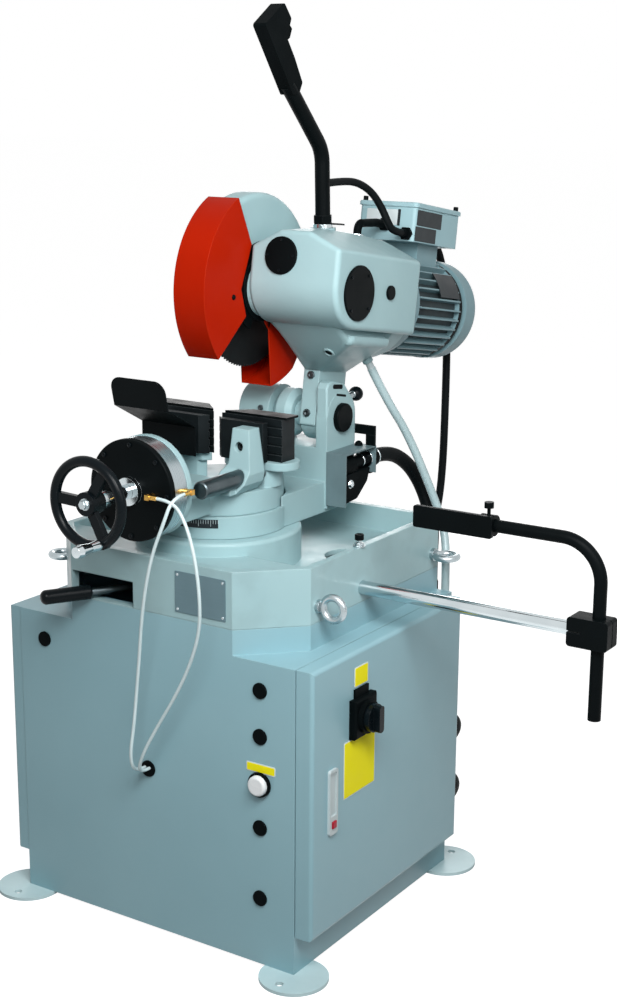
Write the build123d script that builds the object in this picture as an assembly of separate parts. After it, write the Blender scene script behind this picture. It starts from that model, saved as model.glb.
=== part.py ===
from build123d import *
import os
from math import atan2, cos, degrees, pi, radians, sin, sqrt, tan

# Metal cut-off saw: a pull-down circular cold saw with an air vise on a sheet-metal cabinet.
# Millimetres. X runs to the operator's right, Y to the back, Z up from the floor.
# The origin is on the floor, in the middle of the four anchor holes.

# Cabinet
cabinet_width = 608.0
cabinet_depth = 535.0
cabinet_top = 560.0
sheet = 2.5
foot_radius = 61.0
foot_thickness = 6.0
anchor_radius = 7.0
anchor_inset = 4.0
anchor_reach = 38.0
plinth_width = 544.0
plinth_chamfer = 95.0
plinth_height = 45.0
plinth_lip = 26.0
plug_radius = 14.0
plug_x = 234.0
plug_heights = (510.0, 428.0, 262.0, 131.0)
lamp_radius = 22.0
lamp_height = 342.0
grommet_radius = 15.0
grommet_x = -8.0
grommet_height = 313.0

# Doors and covers on the sides
door_length = 511.0
door_bottom = 76.0
door_height = 484.0
door_thickness = 33.0
door_gap = 1.5
door_skin = 2.0
door_round = 7.0
opening_margin = 44.0
hinge_radius = 7.0
hinge_pin_radius = 3.0
hinge_half = 28.0
hinge_heights = (150.0, 440.0)
switch_inset = 148.5
switch_height = 443.0
switch_size = 70.0
switch_plate_thickness = 14.0
switch_shaft_radius = 6.0
knob_radius = 25.0
knob_depth = 22.0
latch_inset = 60.5
latch_height = 314.0
latch_length = 118.0
latch_width = 26.0
latch_thickness = 5.0
button_size = 12.0
button_travel = 2.5

# Tray casting
tray_height = 101.0
tray_wall = 14.0
basin_depth = 46.0
tray_floor_thickness = 9.0
deck_drop = 8.0
deck_back = -150.0
pedestal_radius = 150.0
pedestal_rise = 16.5
drain_radius = 45.0
drain_x = 196.0
drain_y = 70.0
slot_height = 46.0
slot_clearance = 7.0
eye_radius = 20.0
eye_wire = 6.5
eye_shank_radius = 6.0
eye_rise = 29.0
eye_front_y = -150.0
eye_back_y = 246.0

# Swivel axis and turntable
swivel_y = -64.0
king_pin_radius = 30.0
running_fit = 0.05
turntable_gap = 0.5
lower_ring_radius = 124.0
lower_ring_height = 40.0
upper_ring_radius = 118.0
upper_ring_height = 40.5
arm_half_width = 118.0
arm_rise = 18.0

# Turntable lock lever
lever_angle = -121.5
lever_hub_radius = 46.0
lever_hub_height = 16.0
lever_rod_radius = 7.0
lever_grip_radius = 13.0
lever_grip_start = 244.0
lever_grip_end = 336.0
lever_back_swing = 5.0
lever_forward_swing = 16.0

# Column and head pivot
pivot_y = 155.0
pivot_z = 895.0
pivot_radius = 15.0
ear_radius = 49.0
column_half_width = 122.0
column_bottom = 729.0
ear_right_thickness = 24.0
ear_left_inner = -10.0
ear_left_outer = -76.0
ear_gap = 3.0
cap_radius = 27.0
cap_thickness = 10.0
hub_radius = 24.0
head_arm_width = 34.0
spring_cover_length = 40.0
lock_pin_radius = 6.0
lock_pin_rise = 33.0
lock_ball_radius = 14.0
lock_pin_travel = 14.0

# Head, laid out with the motor level about the pivot, then tilted back
head_tilt = 9.0
head_width = 184.0
housing_front = -218.0
housing_bottom = 163.0
housing_brow = 324.0
housing_top = 337.0
housing_tail_drop = 6.0
housing_nose_radius = 73.0
housing_round = 9.0
crest_front = -130.0
crest_back = -20.0
eaves_left = 296.0
eaves_right = 297.0
ridge_x = 124.0
ridge_height = 339.0
ridge_round = 30.0
bell_length = 66.0
bell_chamfer = 24.0
bell_margin = 9.0
ledge_bottom = 134.0
ledge_top = 153.0
ledge_left = 56.0
ledge_right = 205.0
ledge_front = -126.0
ledge_back = 16.0
ledge_round = 14.0
groove_depth = 16.0
spindle_back = -160.0
spindle_up = 224.0
spindle_radius = 16.0
motor_x = 110.0
motor_up = 216.0
motor_flange = 64.0
motor_length = 217.0
motor_shield = 46.0
motor_radius = 96.0
fin_height = 13.0
fin_count = 32
fan_cover_gap = 10.0
fan_cover_length = 50.0
worm_up = 280.0
front_cover_radius = 33.0
front_cover_x = 104.0
side_cover_radius = 48.5
side_cover_back = -144.0
side_cover_up = 227.5
sight_glass_radius = 13.0
sight_glass_back = -37.0
sight_glass_up = 235.0
cover_thickness = 4.0
bearing_boss_radius = 52.0
bearing_boss_end = 16.0

# Blade and guards
blade_radius = 145.0
blade_thickness = 2.5
blade_teeth = 110
blade_tooth_depth = 4.0
flange_radius = 40.0
flange_thickness = 12.0
guard_half_width = 33.0
head_gap = 5.0
carrier_thickness = 3.5
carrier_gap = 0.3
carrier_back_gap = 1.2
carrier_ring_radius = 60.0
carrier_radius = 82.0
guard_sheet = 2.0
guard_radius = 178.0
guard_top_angle = 124.0
guard_low_angle = 228.5
hood_radius = 167.0
hood_round = 10.0
hood_sheet = 2.5
hood_inner = 48.0
hood_rear_angle = -15.0
hood_front_angle = 135.0
chute_radius = 184.0

# Handle
tube_radius = 13.5
handle_nut_radius = 18.0
handle_nut_height = 15.0
handle_ring_radius = 17.5
handle_ring_height = 7.0
handle_boss_radius = 23.0
handle_seat = -13.0
grip_thickness = 26.0
handle_x = 110.0

# Vise
table_top = 850.0
table_thickness = 14.0
jaw_height = 76.0
jaw_depth = 40.0
jaw_half_length = 138.0
jaw_blade_gap = 9.0
top_plate_thickness = 4.0
top_plate_end = 146.0
vise_axis_z = 830.0
bar_x = 96.0
bar_radius = 15.5
bar_front = -246.0
boss_radius = 22.0
jaw_opening = 11.0
pad_thickness = 14.0
pad_height = 70.0
pad_half_length = 115.0
arm_inner = 72.0
arm_outer = 107.0
arm_slope = 14.0
arm_toe = 37.0
arm_flare = 14.0
arm_thickness = 30.0
arm_top = 914.0
cylinder_radius = 88.0
cylinder_front = -312.0
cylinder_cover_thickness = 10.0
cylinder_back = -268.0
cylinder_flange_thickness = 12.0
screw_radius = 10.0
wheel_radius = 79.0
wheel_rim_radius = 9.0
spoke_half_width = 9.0
wheel_y = -420.0
chip_sheet = 2.0

# Length stop
rod_y = -8.0
rod_z = 632.0
rod_radius = 12.5
rod_start = 205.0
rod_end = 700.0
stop_bar_x = 722.0
stop_bar_radius = 11.0
stop_bar_bottom = 482.0
stop_bar_top = 783.0
stop_bar_end = 500.0
stop_bend = 70.0
stop_plate_left = 383.0
stop_plate_height = 38.0
stop_plate_thickness = 8.0

# Cords
air_hose_radius = 3.0
handle_cable_radius = 7.0
cable_exit_rise = 64.0
cable_stub = 3.0
motor_cable_radius = 8.0
coolant_hose_radius = 8.0
conduit_radius = 14.0

# Rear entries of the coolant hose, the motor cable and the conduit, and the caps on the cabinet's back
coolant_entry = (276.0, 500.0)
cable_entry = (110.0, 500.0)
conduit_entry = (224.0, 520.0)
coolant_reach = 26.0
conduit_reach = 60.0
elbow_rise = 34.0
gland_reach = 14.0
rear_cap_radius = 33.0
rear_cap_depth = 30.0
rear_cap_x = 280.0
rear_cap_heights = (150.0, 275.0)

# Folded sheet bracket on the right of the column
bracket_width = 43.0
bracket_front = 105.0
bracket_back = 212.0
bracket_bottom = 737.0
bracket_clearance = 31.0
bracket_sheet = 2.5

# Outlet for the coolant hose under the motor bell: its place and the way it points (x, back, up)
barb_place = (140.0, 48.0, 106.0)
barb_direction = (0.273, 0.504, -0.819)
barb_length = 14.0
barb_radius = 7.0

# Terminal box on the motor
box_left = 48.0
box_right = 172.0
box_front = 117.0
box_back = 291.0
box_height = 64.0
lid_height = 9.0
gland_radius = 8.0

# Outline of the pistol grip, back and up from the head's pivot, and its trigger
grip_profile = [(-353, 646), (-304, 691), (-279, 670), (-287, 637), (-259, 609), (-229, 573), (-236, 553),
                (-254, 548)]
trigger_width = 14.0

# Air elbows: the front one's x and z, the side one's y and z
front_fitting = (48.0, 828.0)
side_fitting = (-276.0, 834.0)
elbow_size = 9.0
elbow_spout = 14.0

# Bent black sheet on the left arm that keeps chips off the operator
chip_left = -128.0
chip_right = -8.0
chip_bottom = 853.5
chip_bend = 905.0
chip_reach = 76.0
chip_rise = 40.0
chip_flap = 53.0
chip_lean = 12.0

# Where the two halves of the motor cable and of the coolant hose meet
cable_middle = (110.0, 578.0, 800.0)
coolant_middle = (208.0, 316.0, 776.0)

# Sizes that follow from the ones above
carrier_far = guard_half_width - guard_sheet - carrier_gap
carrier_near = carrier_far - carrier_thickness
hood_half_width = carrier_near - carrier_back_gap
head_left = guard_half_width + head_gap
head_right = head_left + head_width
half_width = cabinet_width / 2
half_depth = cabinet_depth / 2
plinth_top = cabinet_top + plinth_height
tray_top = plinth_top + tray_height
eye_height = plinth_top + eye_rise
tray_floor = tray_top - basin_depth
tray_half = plinth_width / 2
pedestal_top = tray_top + pedestal_rise
ring_bottom = pedestal_top + turntable_gap
ring_top = ring_bottom + lower_ring_height
vise_bottom = ring_top + turntable_gap
vise_deck = vise_bottom + upper_ring_height
door_inner = half_width + door_gap
door_outer = door_inner + door_thickness
door_front = -half_depth + 1.0
door_back = door_front + door_length
switch_y = door_front + switch_inset
latch_y = door_front + latch_inset
door_top = door_bottom + door_height
hinge_x = door_inner + 14.0
hinge_y = door_back + hinge_radius + 2.0
jaw_face = swivel_y
moving_face = jaw_face - jaw_opening
pad_back = moving_face - pad_thickness
arm_front = pad_back - arm_thickness


def box(x0, x1, y0, y1, z0, z1):
    return Pos((x0 + x1) / 2, (y0 + y1) / 2, (z0 + z1) / 2) * Box(x1 - x0, y1 - y0, z1 - z0)


def rod_x(x0, x1, y, z, r):
    return Pos((x0 + x1) / 2, y, z) * Rot(0, 90, 0) * Cylinder(r, x1 - x0)


def rod_y_axis(x, y0, y1, z, r):
    return Pos(x, (y0 + y1) / 2, z) * Rot(90, 0, 0) * Cylinder(r, y1 - y0)


def rod_z_axis(x, y, z0, z1, r):
    return Pos(x, y, (z0 + z1) / 2) * Cylinder(r, z1 - z0)


def face_of(points):
    return make_face(Polyline(*points, close=True))


def prism_z(points, z0, z1):
    return Pos(0, 0, z0) * extrude(face_of(points), z1 - z0)


def prism_x(points, x0, x1):
    # Points are (y, z); the profile is drawn on the plane whose axes are Y and Z.
    return extrude(Plane.YZ.offset(x0) * face_of(points), x1 - x0)


def prism_x_round(points, x0, x1, radius):
    profile = face_of(points)
    profile = fillet(profile.vertices(), radius)
    return extrude(Plane.YZ.offset(x0) * profile, x1 - x0)


def prism_y(points, y0, y1):
    # Points are (x, z); the profile is drawn on the plane whose axes are X and Z.
    return extrude(Plane.XZ.offset(-y0) * face_of(points), -(y1 - y0))


def mirror_x(part):
    return mirror(part, about=Plane.YZ)


def head_place(part):
    return Pos(0, pivot_y, pivot_z) * Rot(-head_tilt, 0, 0) * part


def head_point(x, back, up):
    t = radians(head_tilt)
    y = back * cos(t) + up * sin(t)
    z = -back * sin(t) + up * cos(t)
    return (x, pivot_y + y, pivot_z + z)


def octagon(inset):
    # Outline of the tray and plinth: square at the back, corners cut off at the front.
    w = plinth_width / 2 - inset
    front = -half_depth + inset
    back = half_depth - inset
    cut = plinth_chamfer - inset * (2 - sqrt(2))
    return [(-w, back), (-w, front + cut), (-w + cut, front), (w - cut, front), (w, front + cut), (w, back)]


def cord_radii(points):
    # Each bend takes 0.45 of its shorter run.
    out = []
    for i in range(1, len(points) - 1):
        a = Vector(*points[i]) - Vector(*points[i - 1])
        b = Vector(*points[i + 1]) - Vector(*points[i])
        turn = radians(a.get_angle(b))
        out.append(0.45 * min(a.length, b.length) / tan(turn / 2))
    return out


def cord(name, points, radius):
    # A tube along straight runs joined by tangent arcs.
    radii = cord_radii(points)
    path = FilletPolyline(*points, radius=radii)
    start = Plane(origin=path @ 0, z_dir=path % 0)
    tube = sweep(start * Circle(radius), path=path)
    share = tube.volume / (pi * radius * radius * path.length)
    print(name, "length", round(path.length, 1), "radii", [round(r) for r in radii], "volume share",
          round(share, 4))
    return tube


# Cabinet shell with the plinth that carries the tray
def make_cabinet():
    w, d = half_width, half_depth
    shell = box(-w, w, -d, d, foot_thickness, cabinet_top) + prism_z(octagon(0), cabinet_top, plinth_top)
    shell -= box(-w + sheet, w - sheet, -d + sheet, d - sheet, foot_thickness + sheet, cabinet_top - sheet)
    shell -= prism_z(octagon(sheet), cabinet_top - 2 * sheet, plinth_top - sheet)
    shell -= prism_z(octagon(plinth_lip), plinth_top - 2 * sheet, plinth_top + 1)
    y0, y1 = door_front + opening_margin, door_back - opening_margin
    z0, z1 = door_bottom + opening_margin, door_top - opening_margin
    shell -= box(-w - 1, w + 1, y0, y1, z0, z1)
    for x, z, r in front_holes():
        shell -= rod_y_axis(x, -d - 1, -d + sheet + 1, z, r)
    for x, z, r in rear_holes():
        shell -= rod_y_axis(x, d - sheet - 1, d + 1, z, r)
    return shell


def front_holes():
    stem = 0.7
    holes = [(plug_x, z, plug_radius * stem) for z in plug_heights]
    holes.append((-plug_x - 11, plug_heights[0], plug_radius * stem))
    holes.append((grommet_x, grommet_height, grommet_radius * stem))
    holes.append((plug_x, lamp_height, lamp_radius * stem))
    return holes


def rear_holes():
    return [(coolant_entry[0], coolant_entry[1], 11.0), (cable_entry[0], cable_entry[1], 13.0),
            (conduit_entry[0], conduit_entry[1], 16.0)]


def make_rear_glands():
    # The motor cable goes straight in; the two hoses drop into elbows.
    glands = Part()
    reaches = (coolant_reach, gland_reach, conduit_reach)
    for (x, z, r), reach in zip(rear_holes(), reaches):
        lock = rod_y_axis(x, half_depth - sheet - 6, half_depth - sheet, z, r + 4)
        nut = Pos(x, half_depth + 4, z) * Rot(90, 0, 0) * extrude(RegularPolygon(r + 4, 6), 4, both=True)
        gland = rod_y_axis(x, half_depth - sheet - 4, half_depth + reach, z, r - 0.4) + nut + lock
        if reach != gland_reach:
            gland += rod_z_axis(x, half_depth + reach, z, z + elbow_rise, r - 0.4)
            gland += Pos(x, half_depth + reach, z) * Sphere(r - 0.4)
        glands += gland
    for z in rear_cap_heights:
        cap = rod_y_axis(rear_cap_x, half_depth, half_depth + rear_cap_depth, z, rear_cap_radius)
        glands += fillet(cap.edges().group_by(Axis.Y)[-1], rear_cap_depth * 0.6)
    return glands


def elbow_mouth(entry, reach):
    return (entry[0], half_depth + reach, entry[1] + elbow_rise)


def make_feet():
    feet = Part()
    for sx in (-1, 1):
        for sy in (-1, 1):
            disc = rod_z_axis(sx * half_width, sy * half_depth, 0, foot_thickness, foot_radius)
            hole = rod_z_axis(sx * (half_width - anchor_inset), sy * (half_depth + anchor_reach), -1,
                              foot_thickness + 1, anchor_radius)
            feet += disc - hole
    return feet


# Black plugs, cable grommet and lamp in the front sheet
def make_plugs():
    front = -half_depth
    plugs = Part()
    seats = [(plug_x, z, plug_radius) for z in plug_heights]
    seats.append((-plug_x - 11, plug_heights[0], plug_radius))
    seats.append((grommet_x, grommet_height, grommet_radius))
    for x, z, r in seats:
        head = rod_y_axis(x, front - 4, front, z, r)
        head = fillet(head.edges().group_by(Axis.Y)[0], 2)
        plugs += head + rod_y_axis(x, front, front + sheet + 4, z, r * 0.7 - 0.2)
    return plugs


def make_lamp():
    front = -half_depth
    bezel = rod_y_axis(plug_x, front - 6, front, lamp_height, lamp_radius)
    lens = rod_y_axis(plug_x, front - 15, front - 6, lamp_height, lamp_radius - 4)
    lens = fillet(lens.edges().group_by(Axis.Y)[0], 5)
    return bezel + lens + rod_y_axis(plug_x, front, front + 24, lamp_height, lamp_radius * 0.7 - 0.2)


# Pan-shaped side door, hollow on the inside
def door_pan(inner, outer, front, back):
    pan = box(inner, outer, front, back, door_bottom, door_top)
    pan = fillet(pan.faces().sort_by(Axis.X)[-1].edges(), door_round)
    hollow = box(inner - 1, outer - door_skin, front + door_skin, back - door_skin,
                 door_bottom + door_skin, door_top - door_skin)
    hollow = fillet(hollow.faces().sort_by(Axis.X)[-1].edges(), door_round - door_skin)
    return pan - hollow


def hinge_barrel(z0, z1, y_in):
    barrel = rod_z_axis(hinge_x, hinge_y, z0, z1, hinge_radius)
    tab = box(hinge_x - 2, hinge_x + 2, y_in, hinge_y, z0, z1)
    return barrel + tab


def make_right_door():
    door = door_pan(door_inner, door_outer, door_front, door_back)
    for z in hinge_heights:
        door += hinge_barrel(z, z + hinge_half, door_back - door_skin)
        door -= rod_z_axis(hinge_x, hinge_y, z - 1, z + hinge_half + 1, hinge_pin_radius + running_fit)
    door -= rod_x(door_outer - door_skin - 1, door_outer + 1, switch_y, switch_height,
                  switch_shaft_radius + 3)
    door -= box(door_outer - door_skin - 1, door_outer + 1, latch_y - latch_width / 2 + 3,
                latch_y + latch_width / 2 - 3, latch_height - latch_length / 2 + 3,
                latch_height + latch_length / 2 - 3)
    return door


def make_door_hinges():
    hinges = Part()
    for z in hinge_heights:
        z0, z1 = z - hinge_half - 0.4, z - 0.4
        lower = rod_z_axis(hinge_x, hinge_y, z0, z1, hinge_radius)
        lower += prism_z([(half_width, hinge_y - 4), (half_width, hinge_y + 9), (half_width + 3, hinge_y + 9),
                          (hinge_x, hinge_y + 3), (hinge_x, hinge_y - 3), (half_width + 3, hinge_y - 4)],
                          z0, z1)
        lower += rod_z_axis(hinge_x, hinge_y, z1, z + hinge_half - 4, hinge_pin_radius)
        hinges += lower
    return hinges


def make_left_cover():
    cover = mirror_x(door_pan(half_width, half_width + door_thickness - 5, door_front, door_back))
    return cover


# Main switch plate with its tab, and the latch plate
def make_door_fittings():
    s = switch_size / 2
    plate = box(door_outer, door_outer + switch_plate_thickness, switch_y - s, switch_y + s,
                switch_height - s, switch_height + s)
    plate = chamfer(plate.faces().sort_by(Axis.X)[-1].edges(), 3)
    plate += box(door_outer, door_outer + 4, switch_y - 22, switch_y + 22, switch_height + s - 1,
                 switch_height + s + 16)
    plate += rod_x(door_outer + switch_plate_thickness - 1, door_outer + switch_plate_thickness + 8,
                   switch_y, switch_height, knob_radius + 4)
    plate -= rod_x(door_outer - 1, door_outer + switch_plate_thickness + 9, switch_y, switch_height,
                   switch_shaft_radius + running_fit)
    w, h = latch_width / 2, latch_length / 2
    latch = box(door_outer, door_outer + latch_thickness, latch_y - w, latch_y + w, latch_height - h,
                latch_height + h)
    latch = fillet(latch.edges().filter_by(Axis.X), 5)
    recess = box(door_outer + 1.5, door_outer + latch_thickness + 1, latch_y - w + 4, latch_y + w - 4,
                 latch_height - h + 34, latch_height + h - 6)
    b = button_size / 2 + 0.4
    window = box(door_outer - 1, door_outer + latch_thickness + 1, latch_y - b, latch_y + b, button_z() - b,
                 button_z() + b)
    return plate + (latch - recess - window)


def button_z():
    return latch_height - latch_length / 2 + 18


def make_latch_button():
    b = button_size / 2
    button = box(door_outer - 6, door_outer + latch_thickness + 3, latch_y - b, latch_y + b, button_z() - b,
                 button_z() + b)
    return fillet(button.faces().sort_by(Axis.X)[-1].edges(), 1.5)


def make_switch_knob():
    x0 = door_outer + switch_plate_thickness + 8.4
    x1 = x0 + knob_depth
    disc = rod_x(x0, x0 + 10, switch_y, switch_height, knob_radius)
    bar = prism_x_round([(-knob_radius + 1, -7.5), (knob_radius - 1, -7.5), (knob_radius - 1, 7.5),
                         (-knob_radius + 1, 7.5)],
                        x0, x1, 6)
    bar = Pos(0, switch_y, switch_height) * Rot(90, 0, 0) * bar
    shaft = rod_x(door_outer - door_skin - 6, x0 + 1, switch_y, switch_height, switch_shaft_radius)
    return disc + bar + shaft


# Octagonal tray casting: chip basin at the back, deck in front, hollow pedestal under the turntable
def make_tray():
    inner = octagon(tray_wall)
    half_space = [(-600, -600), (600, -600), (600, deck_back), (-600, deck_back)]
    tray = prism_z(octagon(0), plinth_top, tray_top) - prism_z(inner, tray_floor, tray_top + 1)
    deck = prism_z(inner, tray_floor - 1, tray_top - deck_drop) & prism_z(half_space, plinth_top, tray_top)
    pedestal = rod_z_axis(0, swivel_y, tray_floor - 1, pedestal_top, pedestal_radius)
    pedestal = fillet(pedestal.edges().group_by(Axis.Z)[-1], 7)
    tray += deck + pedestal
    tray -= prism_z(inner, plinth_top - 1, tray_floor - tray_floor_thickness)
    under_deck = [(-600, -600), (600, -600), (600, deck_back - tray_floor_thickness),
                  (-600, deck_back - tray_floor_thickness)]
    hollow = prism_z(inner, plinth_top - 1, tray_top - deck_drop - tray_floor_thickness)
    tray -= hollow & prism_z(under_deck, 0, tray_top)
    tray -= rod_z_axis(0, swivel_y, plinth_top - 1, pedestal_top - 14, pedestal_radius - 14)
    tray += rod_z_axis(0, swivel_y, lever_top() + 3, pedestal_top - 10, king_pin_radius + 22)
    for k in range(6):
        rib = box(king_pin_radius + 16, pedestal_radius - 8, -5, 5, tray_floor - tray_floor_thickness,
                  pedestal_top - 10)
        tray += Pos(0, swivel_y, 0) * Rot(0, 0, 60 * k + 30) * rib
    tray -= rod_z_axis(0, swivel_y, plinth_top - 1, pedestal_top + 1, king_pin_radius)
    tray += box(tray_half - 46, tray_half - 2, rod_y - 26, rod_y + 26, rod_z - 22, tray_floor)
    tray -= rod_x(rod_start - 60, tray_half + 1, rod_y, rod_z, rod_radius + running_fit)
    tray -= rod_z_axis(tray_half - tray_wall / 2, rod_y, rod_z + rod_radius - 1, tray_top + 1, 4.0)
    tray -= rod_z_axis(drain_x, drain_y, plinth_top, tray_floor + 1, drain_radius)
    tray -= box(lever_crossing(-lever_back_swing, -1), lever_crossing(lever_forward_swing, 1),
                -half_depth - 1,
                -half_depth + tray_wall + 1, plinth_top + 2, plinth_top + 2 + slot_height)
    for sx in (-1, 1):
        for y in (eye_front_y, eye_back_y):
            x0, x1 = sorted((sx * (tray_half - tray_wall - 1), sx * (tray_half + 1)))
            tray -= rod_x(x0, x1, y, eye_height, eye_shank_radius + running_fit)
    return tray


def make_eye_bolts():
    bolts = Part()
    for sx in (-1, 1):
        for y in (eye_front_y, eye_back_y):
            bolt = rod_x(tray_half - tray_wall, tray_half, y, eye_height, eye_shank_radius)
            bolt += rod_x(tray_half, tray_half + 7, y, eye_height, eye_shank_radius + 6)
            ring = Torus(eye_radius, eye_wire)
            if sx > 0 and y == eye_front_y:
                ring = Rot(90, 0, 0) * ring
            bolt += Pos(tray_half + 4 + eye_radius + eye_wire, y, eye_height) * ring
            if sx < 0:
                bolt = mirror_x(bolt)
            bolts += bolt
    return bolts


# King pin through the tray, the swivel casting and the vise base
def lever_bottom():
    return plinth_top + 8


def lever_top():
    return lever_bottom() + lever_hub_height


def make_king_pin():
    pin = rod_z_axis(0, swivel_y, lever_bottom() - 0.4, vise_deck - 12, king_pin_radius)
    head = rod_z_axis(0, swivel_y, plinth_top + 1, lever_bottom() - 0.4, king_pin_radius + 12)
    return pin + head


def lever_crossing(swing, side):
    # X at which one side of the swung lever's grip leaves the tray's front wall.
    a = radians(lever_angle + swing)
    along = (-half_depth - swivel_y) / sin(a)
    return along * cos(a) + side * (lever_grip_radius / abs(sin(a)) + slot_clearance)


def make_lock_lever():
    z0, z1 = lever_bottom(), lever_top()
    zm = (z0 + z1) / 2
    hub = rod_z_axis(0, 0, z0, z1, lever_hub_radius)
    rod = rod_x(lever_hub_radius - 6, lever_grip_end - 6, 0, zm, lever_rod_radius)
    grip = rod_x(lever_grip_start, lever_grip_end, 0, zm, lever_grip_radius)
    grip = fillet(grip.edges().group_by(Axis.X)[-1], lever_grip_radius * 0.8)
    grip = chamfer(grip.edges().group_by(Axis.X)[0], 3)
    lever = hub + rod + grip - rod_z_axis(0, 0, z0 - 1, z1 + 1, king_pin_radius + running_fit)
    return Pos(0, swivel_y, 0) * Rot(0, 0, lever_angle) * lever


# Swivel casting: turntable ring, arm to the back and the column with two ears
def make_swivel():
    w = arm_half_width
    ring = rod_z_axis(0, swivel_y, ring_bottom, ring_top, lower_ring_radius)
    back = pivot_y + ear_radius - 2
    arm = prism_z([(-w, swivel_y + 18), (w, swivel_y + 18), (w, pivot_y), (-w, pivot_y)], ring_bottom,
                  ring_top + arm_rise)
    arm -= rod_z_axis(0, swivel_y, ring_top, ring_top + arm_rise + 1, upper_ring_radius + 3)
    body = ring + arm
    saddle = pivot_z - ear_radius - ear_gap
    front = pivot_y - ear_radius
    column = prism_x([(front, column_bottom), (back, column_bottom), (back, saddle), (front, saddle)],
                     -column_half_width + 14, column_half_width)
    ear = [(front, saddle - 1), (back + 2, saddle - 1), (pivot_y + ear_radius, pivot_z), (front, pivot_z)]
    right0 = column_half_width - ear_right_thickness
    for x0, x1 in ((right0, column_half_width), (ear_left_outer, ear_left_inner)):
        column += prism_x(ear, x0, x1) + rod_x(x0, x1, pivot_y, pivot_z, ear_radius)
    body += column
    body -= box(-w + 30, w - 30, pivot_y - ear_radius + 22, pivot_y + ear_radius + 1, column_bottom - 1,
                saddle - 22)
    body -= rod_z_axis(0, swivel_y, ring_bottom - 1, ring_top + 1, king_pin_radius + running_fit)
    body -= rod_x(ear_left_outer - 1, column_half_width + 1, pivot_y, pivot_z, pivot_radius)
    pin_z = pivot_z + lock_pin_rise
    body -= rod_y_axis(lock_pin_x(), pivot_y - 4, pivot_y + ear_radius + 1, pin_z,
                       lock_pin_radius + running_fit)
    return body


def lock_pin_x():
    return column_half_width - ear_right_thickness / 2


def make_lock_pin():
    z = pivot_z + lock_pin_rise
    x = lock_pin_x()
    seat = pivot_y + sqrt(ear_radius ** 2 - lock_pin_rise ** 2)
    pin = rod_y_axis(x, pivot_y - 3, seat + 26, z, lock_pin_radius)
    return pin + Pos(x, seat + 34, z) * Sphere(lock_ball_radius)


def make_pivot_shaft():
    shaft = rod_x(ear_left_outer, column_half_width, pivot_y, pivot_z, pivot_radius)
    left = rod_x(ear_left_outer - cap_thickness, ear_left_outer, pivot_y, pivot_z, cap_radius)
    right = rod_x(column_half_width, column_half_width + cap_thickness, pivot_y, pivot_z, cap_radius)
    left = fillet(left.edges().group_by(Axis.X)[0], 3)
    right = fillet(right.edges().group_by(Axis.X)[-1], 3)
    return shaft + left + right


# Folded sheet bracket on the right of the column, with the conduit's end fitting
bracket_top = pivot_z - cap_radius - bracket_clearance


def make_bracket():
    x0 = column_half_width
    x1 = x0 + bracket_width
    s = bracket_sheet
    bracket = box(x0, x0 + s, bracket_front, pivot_y + ear_radius - 6, bracket_bottom, bracket_top)
    bracket += box(x0, x1, bracket_front, bracket_front + s, bracket_bottom, bracket_top)
    bracket += box(x0, x1, bracket_front, bracket_back, bracket_top - s, bracket_top)
    rear = box(x0, x1, bracket_back - s, bracket_back, bracket_top - 52, bracket_top)
    rear -= rod_y_axis(fitting_x(), bracket_back - s - 1, bracket_back + 1, fitting_z(), conduit_radius - 2)
    return bracket + rear


def fitting_x():
    return column_half_width + bracket_width / 2 + 1


def fitting_z():
    return bracket_top - 27


def make_conduit_fitting():
    x, z = fitting_x(), fitting_z()
    tube = rod_y_axis(x, bracket_front + 22, bracket_back + 4, z, conduit_radius - 2.2)
    valve = rod_y_axis(x, bracket_front + 6, bracket_front + 46, z, conduit_radius + 3)
    clamp = rod_y_axis(x, bracket_back, bracket_back + 18, z, conduit_radius + 4)
    ear = box(x - 5, x + 5, bracket_back + 4, bracket_back + 14, z - conduit_radius - 16, z - conduit_radius)
    return tube + valve + clamp + ear


# Head casting: gearbox housing, neck and hinge hub
def housing_profile():
    # Side outline of the gear housing about the pivot (back, up): a round nose under a low roof.
    nose = housing_nose_radius
    low = (housing_front + nose, housing_bottom)
    high = (housing_front, housing_bottom + nose)
    middle = (low[0] - nose * sin(pi / 4), high[1] - nose * cos(pi / 4))
    roof = Polyline(high, (housing_front, housing_brow), (crest_front, housing_top),
                    (crest_back, housing_top),
                    (motor_flange, housing_top - housing_tail_drop), (motor_flange, housing_bottom), low)
    outline = make_face([roof, ThreePointArc(low, middle, high)])
    roof_corners = [corner for corner in outline.vertices() if corner.Y > housing_brow - 1]
    return fillet(roof_corners, housing_round)


def housing_gable():
    # Front outline of the gear housing (x, up): upright walls under a low rounded gable.
    below = housing_bottom - 1
    outline = face_of([(head_left, below), (head_left, eaves_left), (ridge_x, ridge_height),
                       (head_right, eaves_right), (head_right, below)])
    outline = fillet(outline.vertices().group_by(Axis.Y)[-1], ridge_round)
    eaves = [corner for corner in outline.vertices() if below + 1 < corner.Y < eaves_right + 1]
    return fillet(eaves, housing_round)


def make_housing():
    # The two outlines cross; the upright front corners are then rounded.
    housing = extrude(Plane.YZ.offset(head_left) * housing_profile(), head_width)
    housing = housing & extrude(Plane.XZ.offset(-housing_front + 1) * housing_gable(),
                                -(motor_flange - housing_front + 2))
    upright = housing.edges().filter_by(Axis.Z)
    upright = [edge for edge in upright if abs(edge.center().Y - housing_front) < 0.1]
    return fillet(upright, housing_round)


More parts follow.
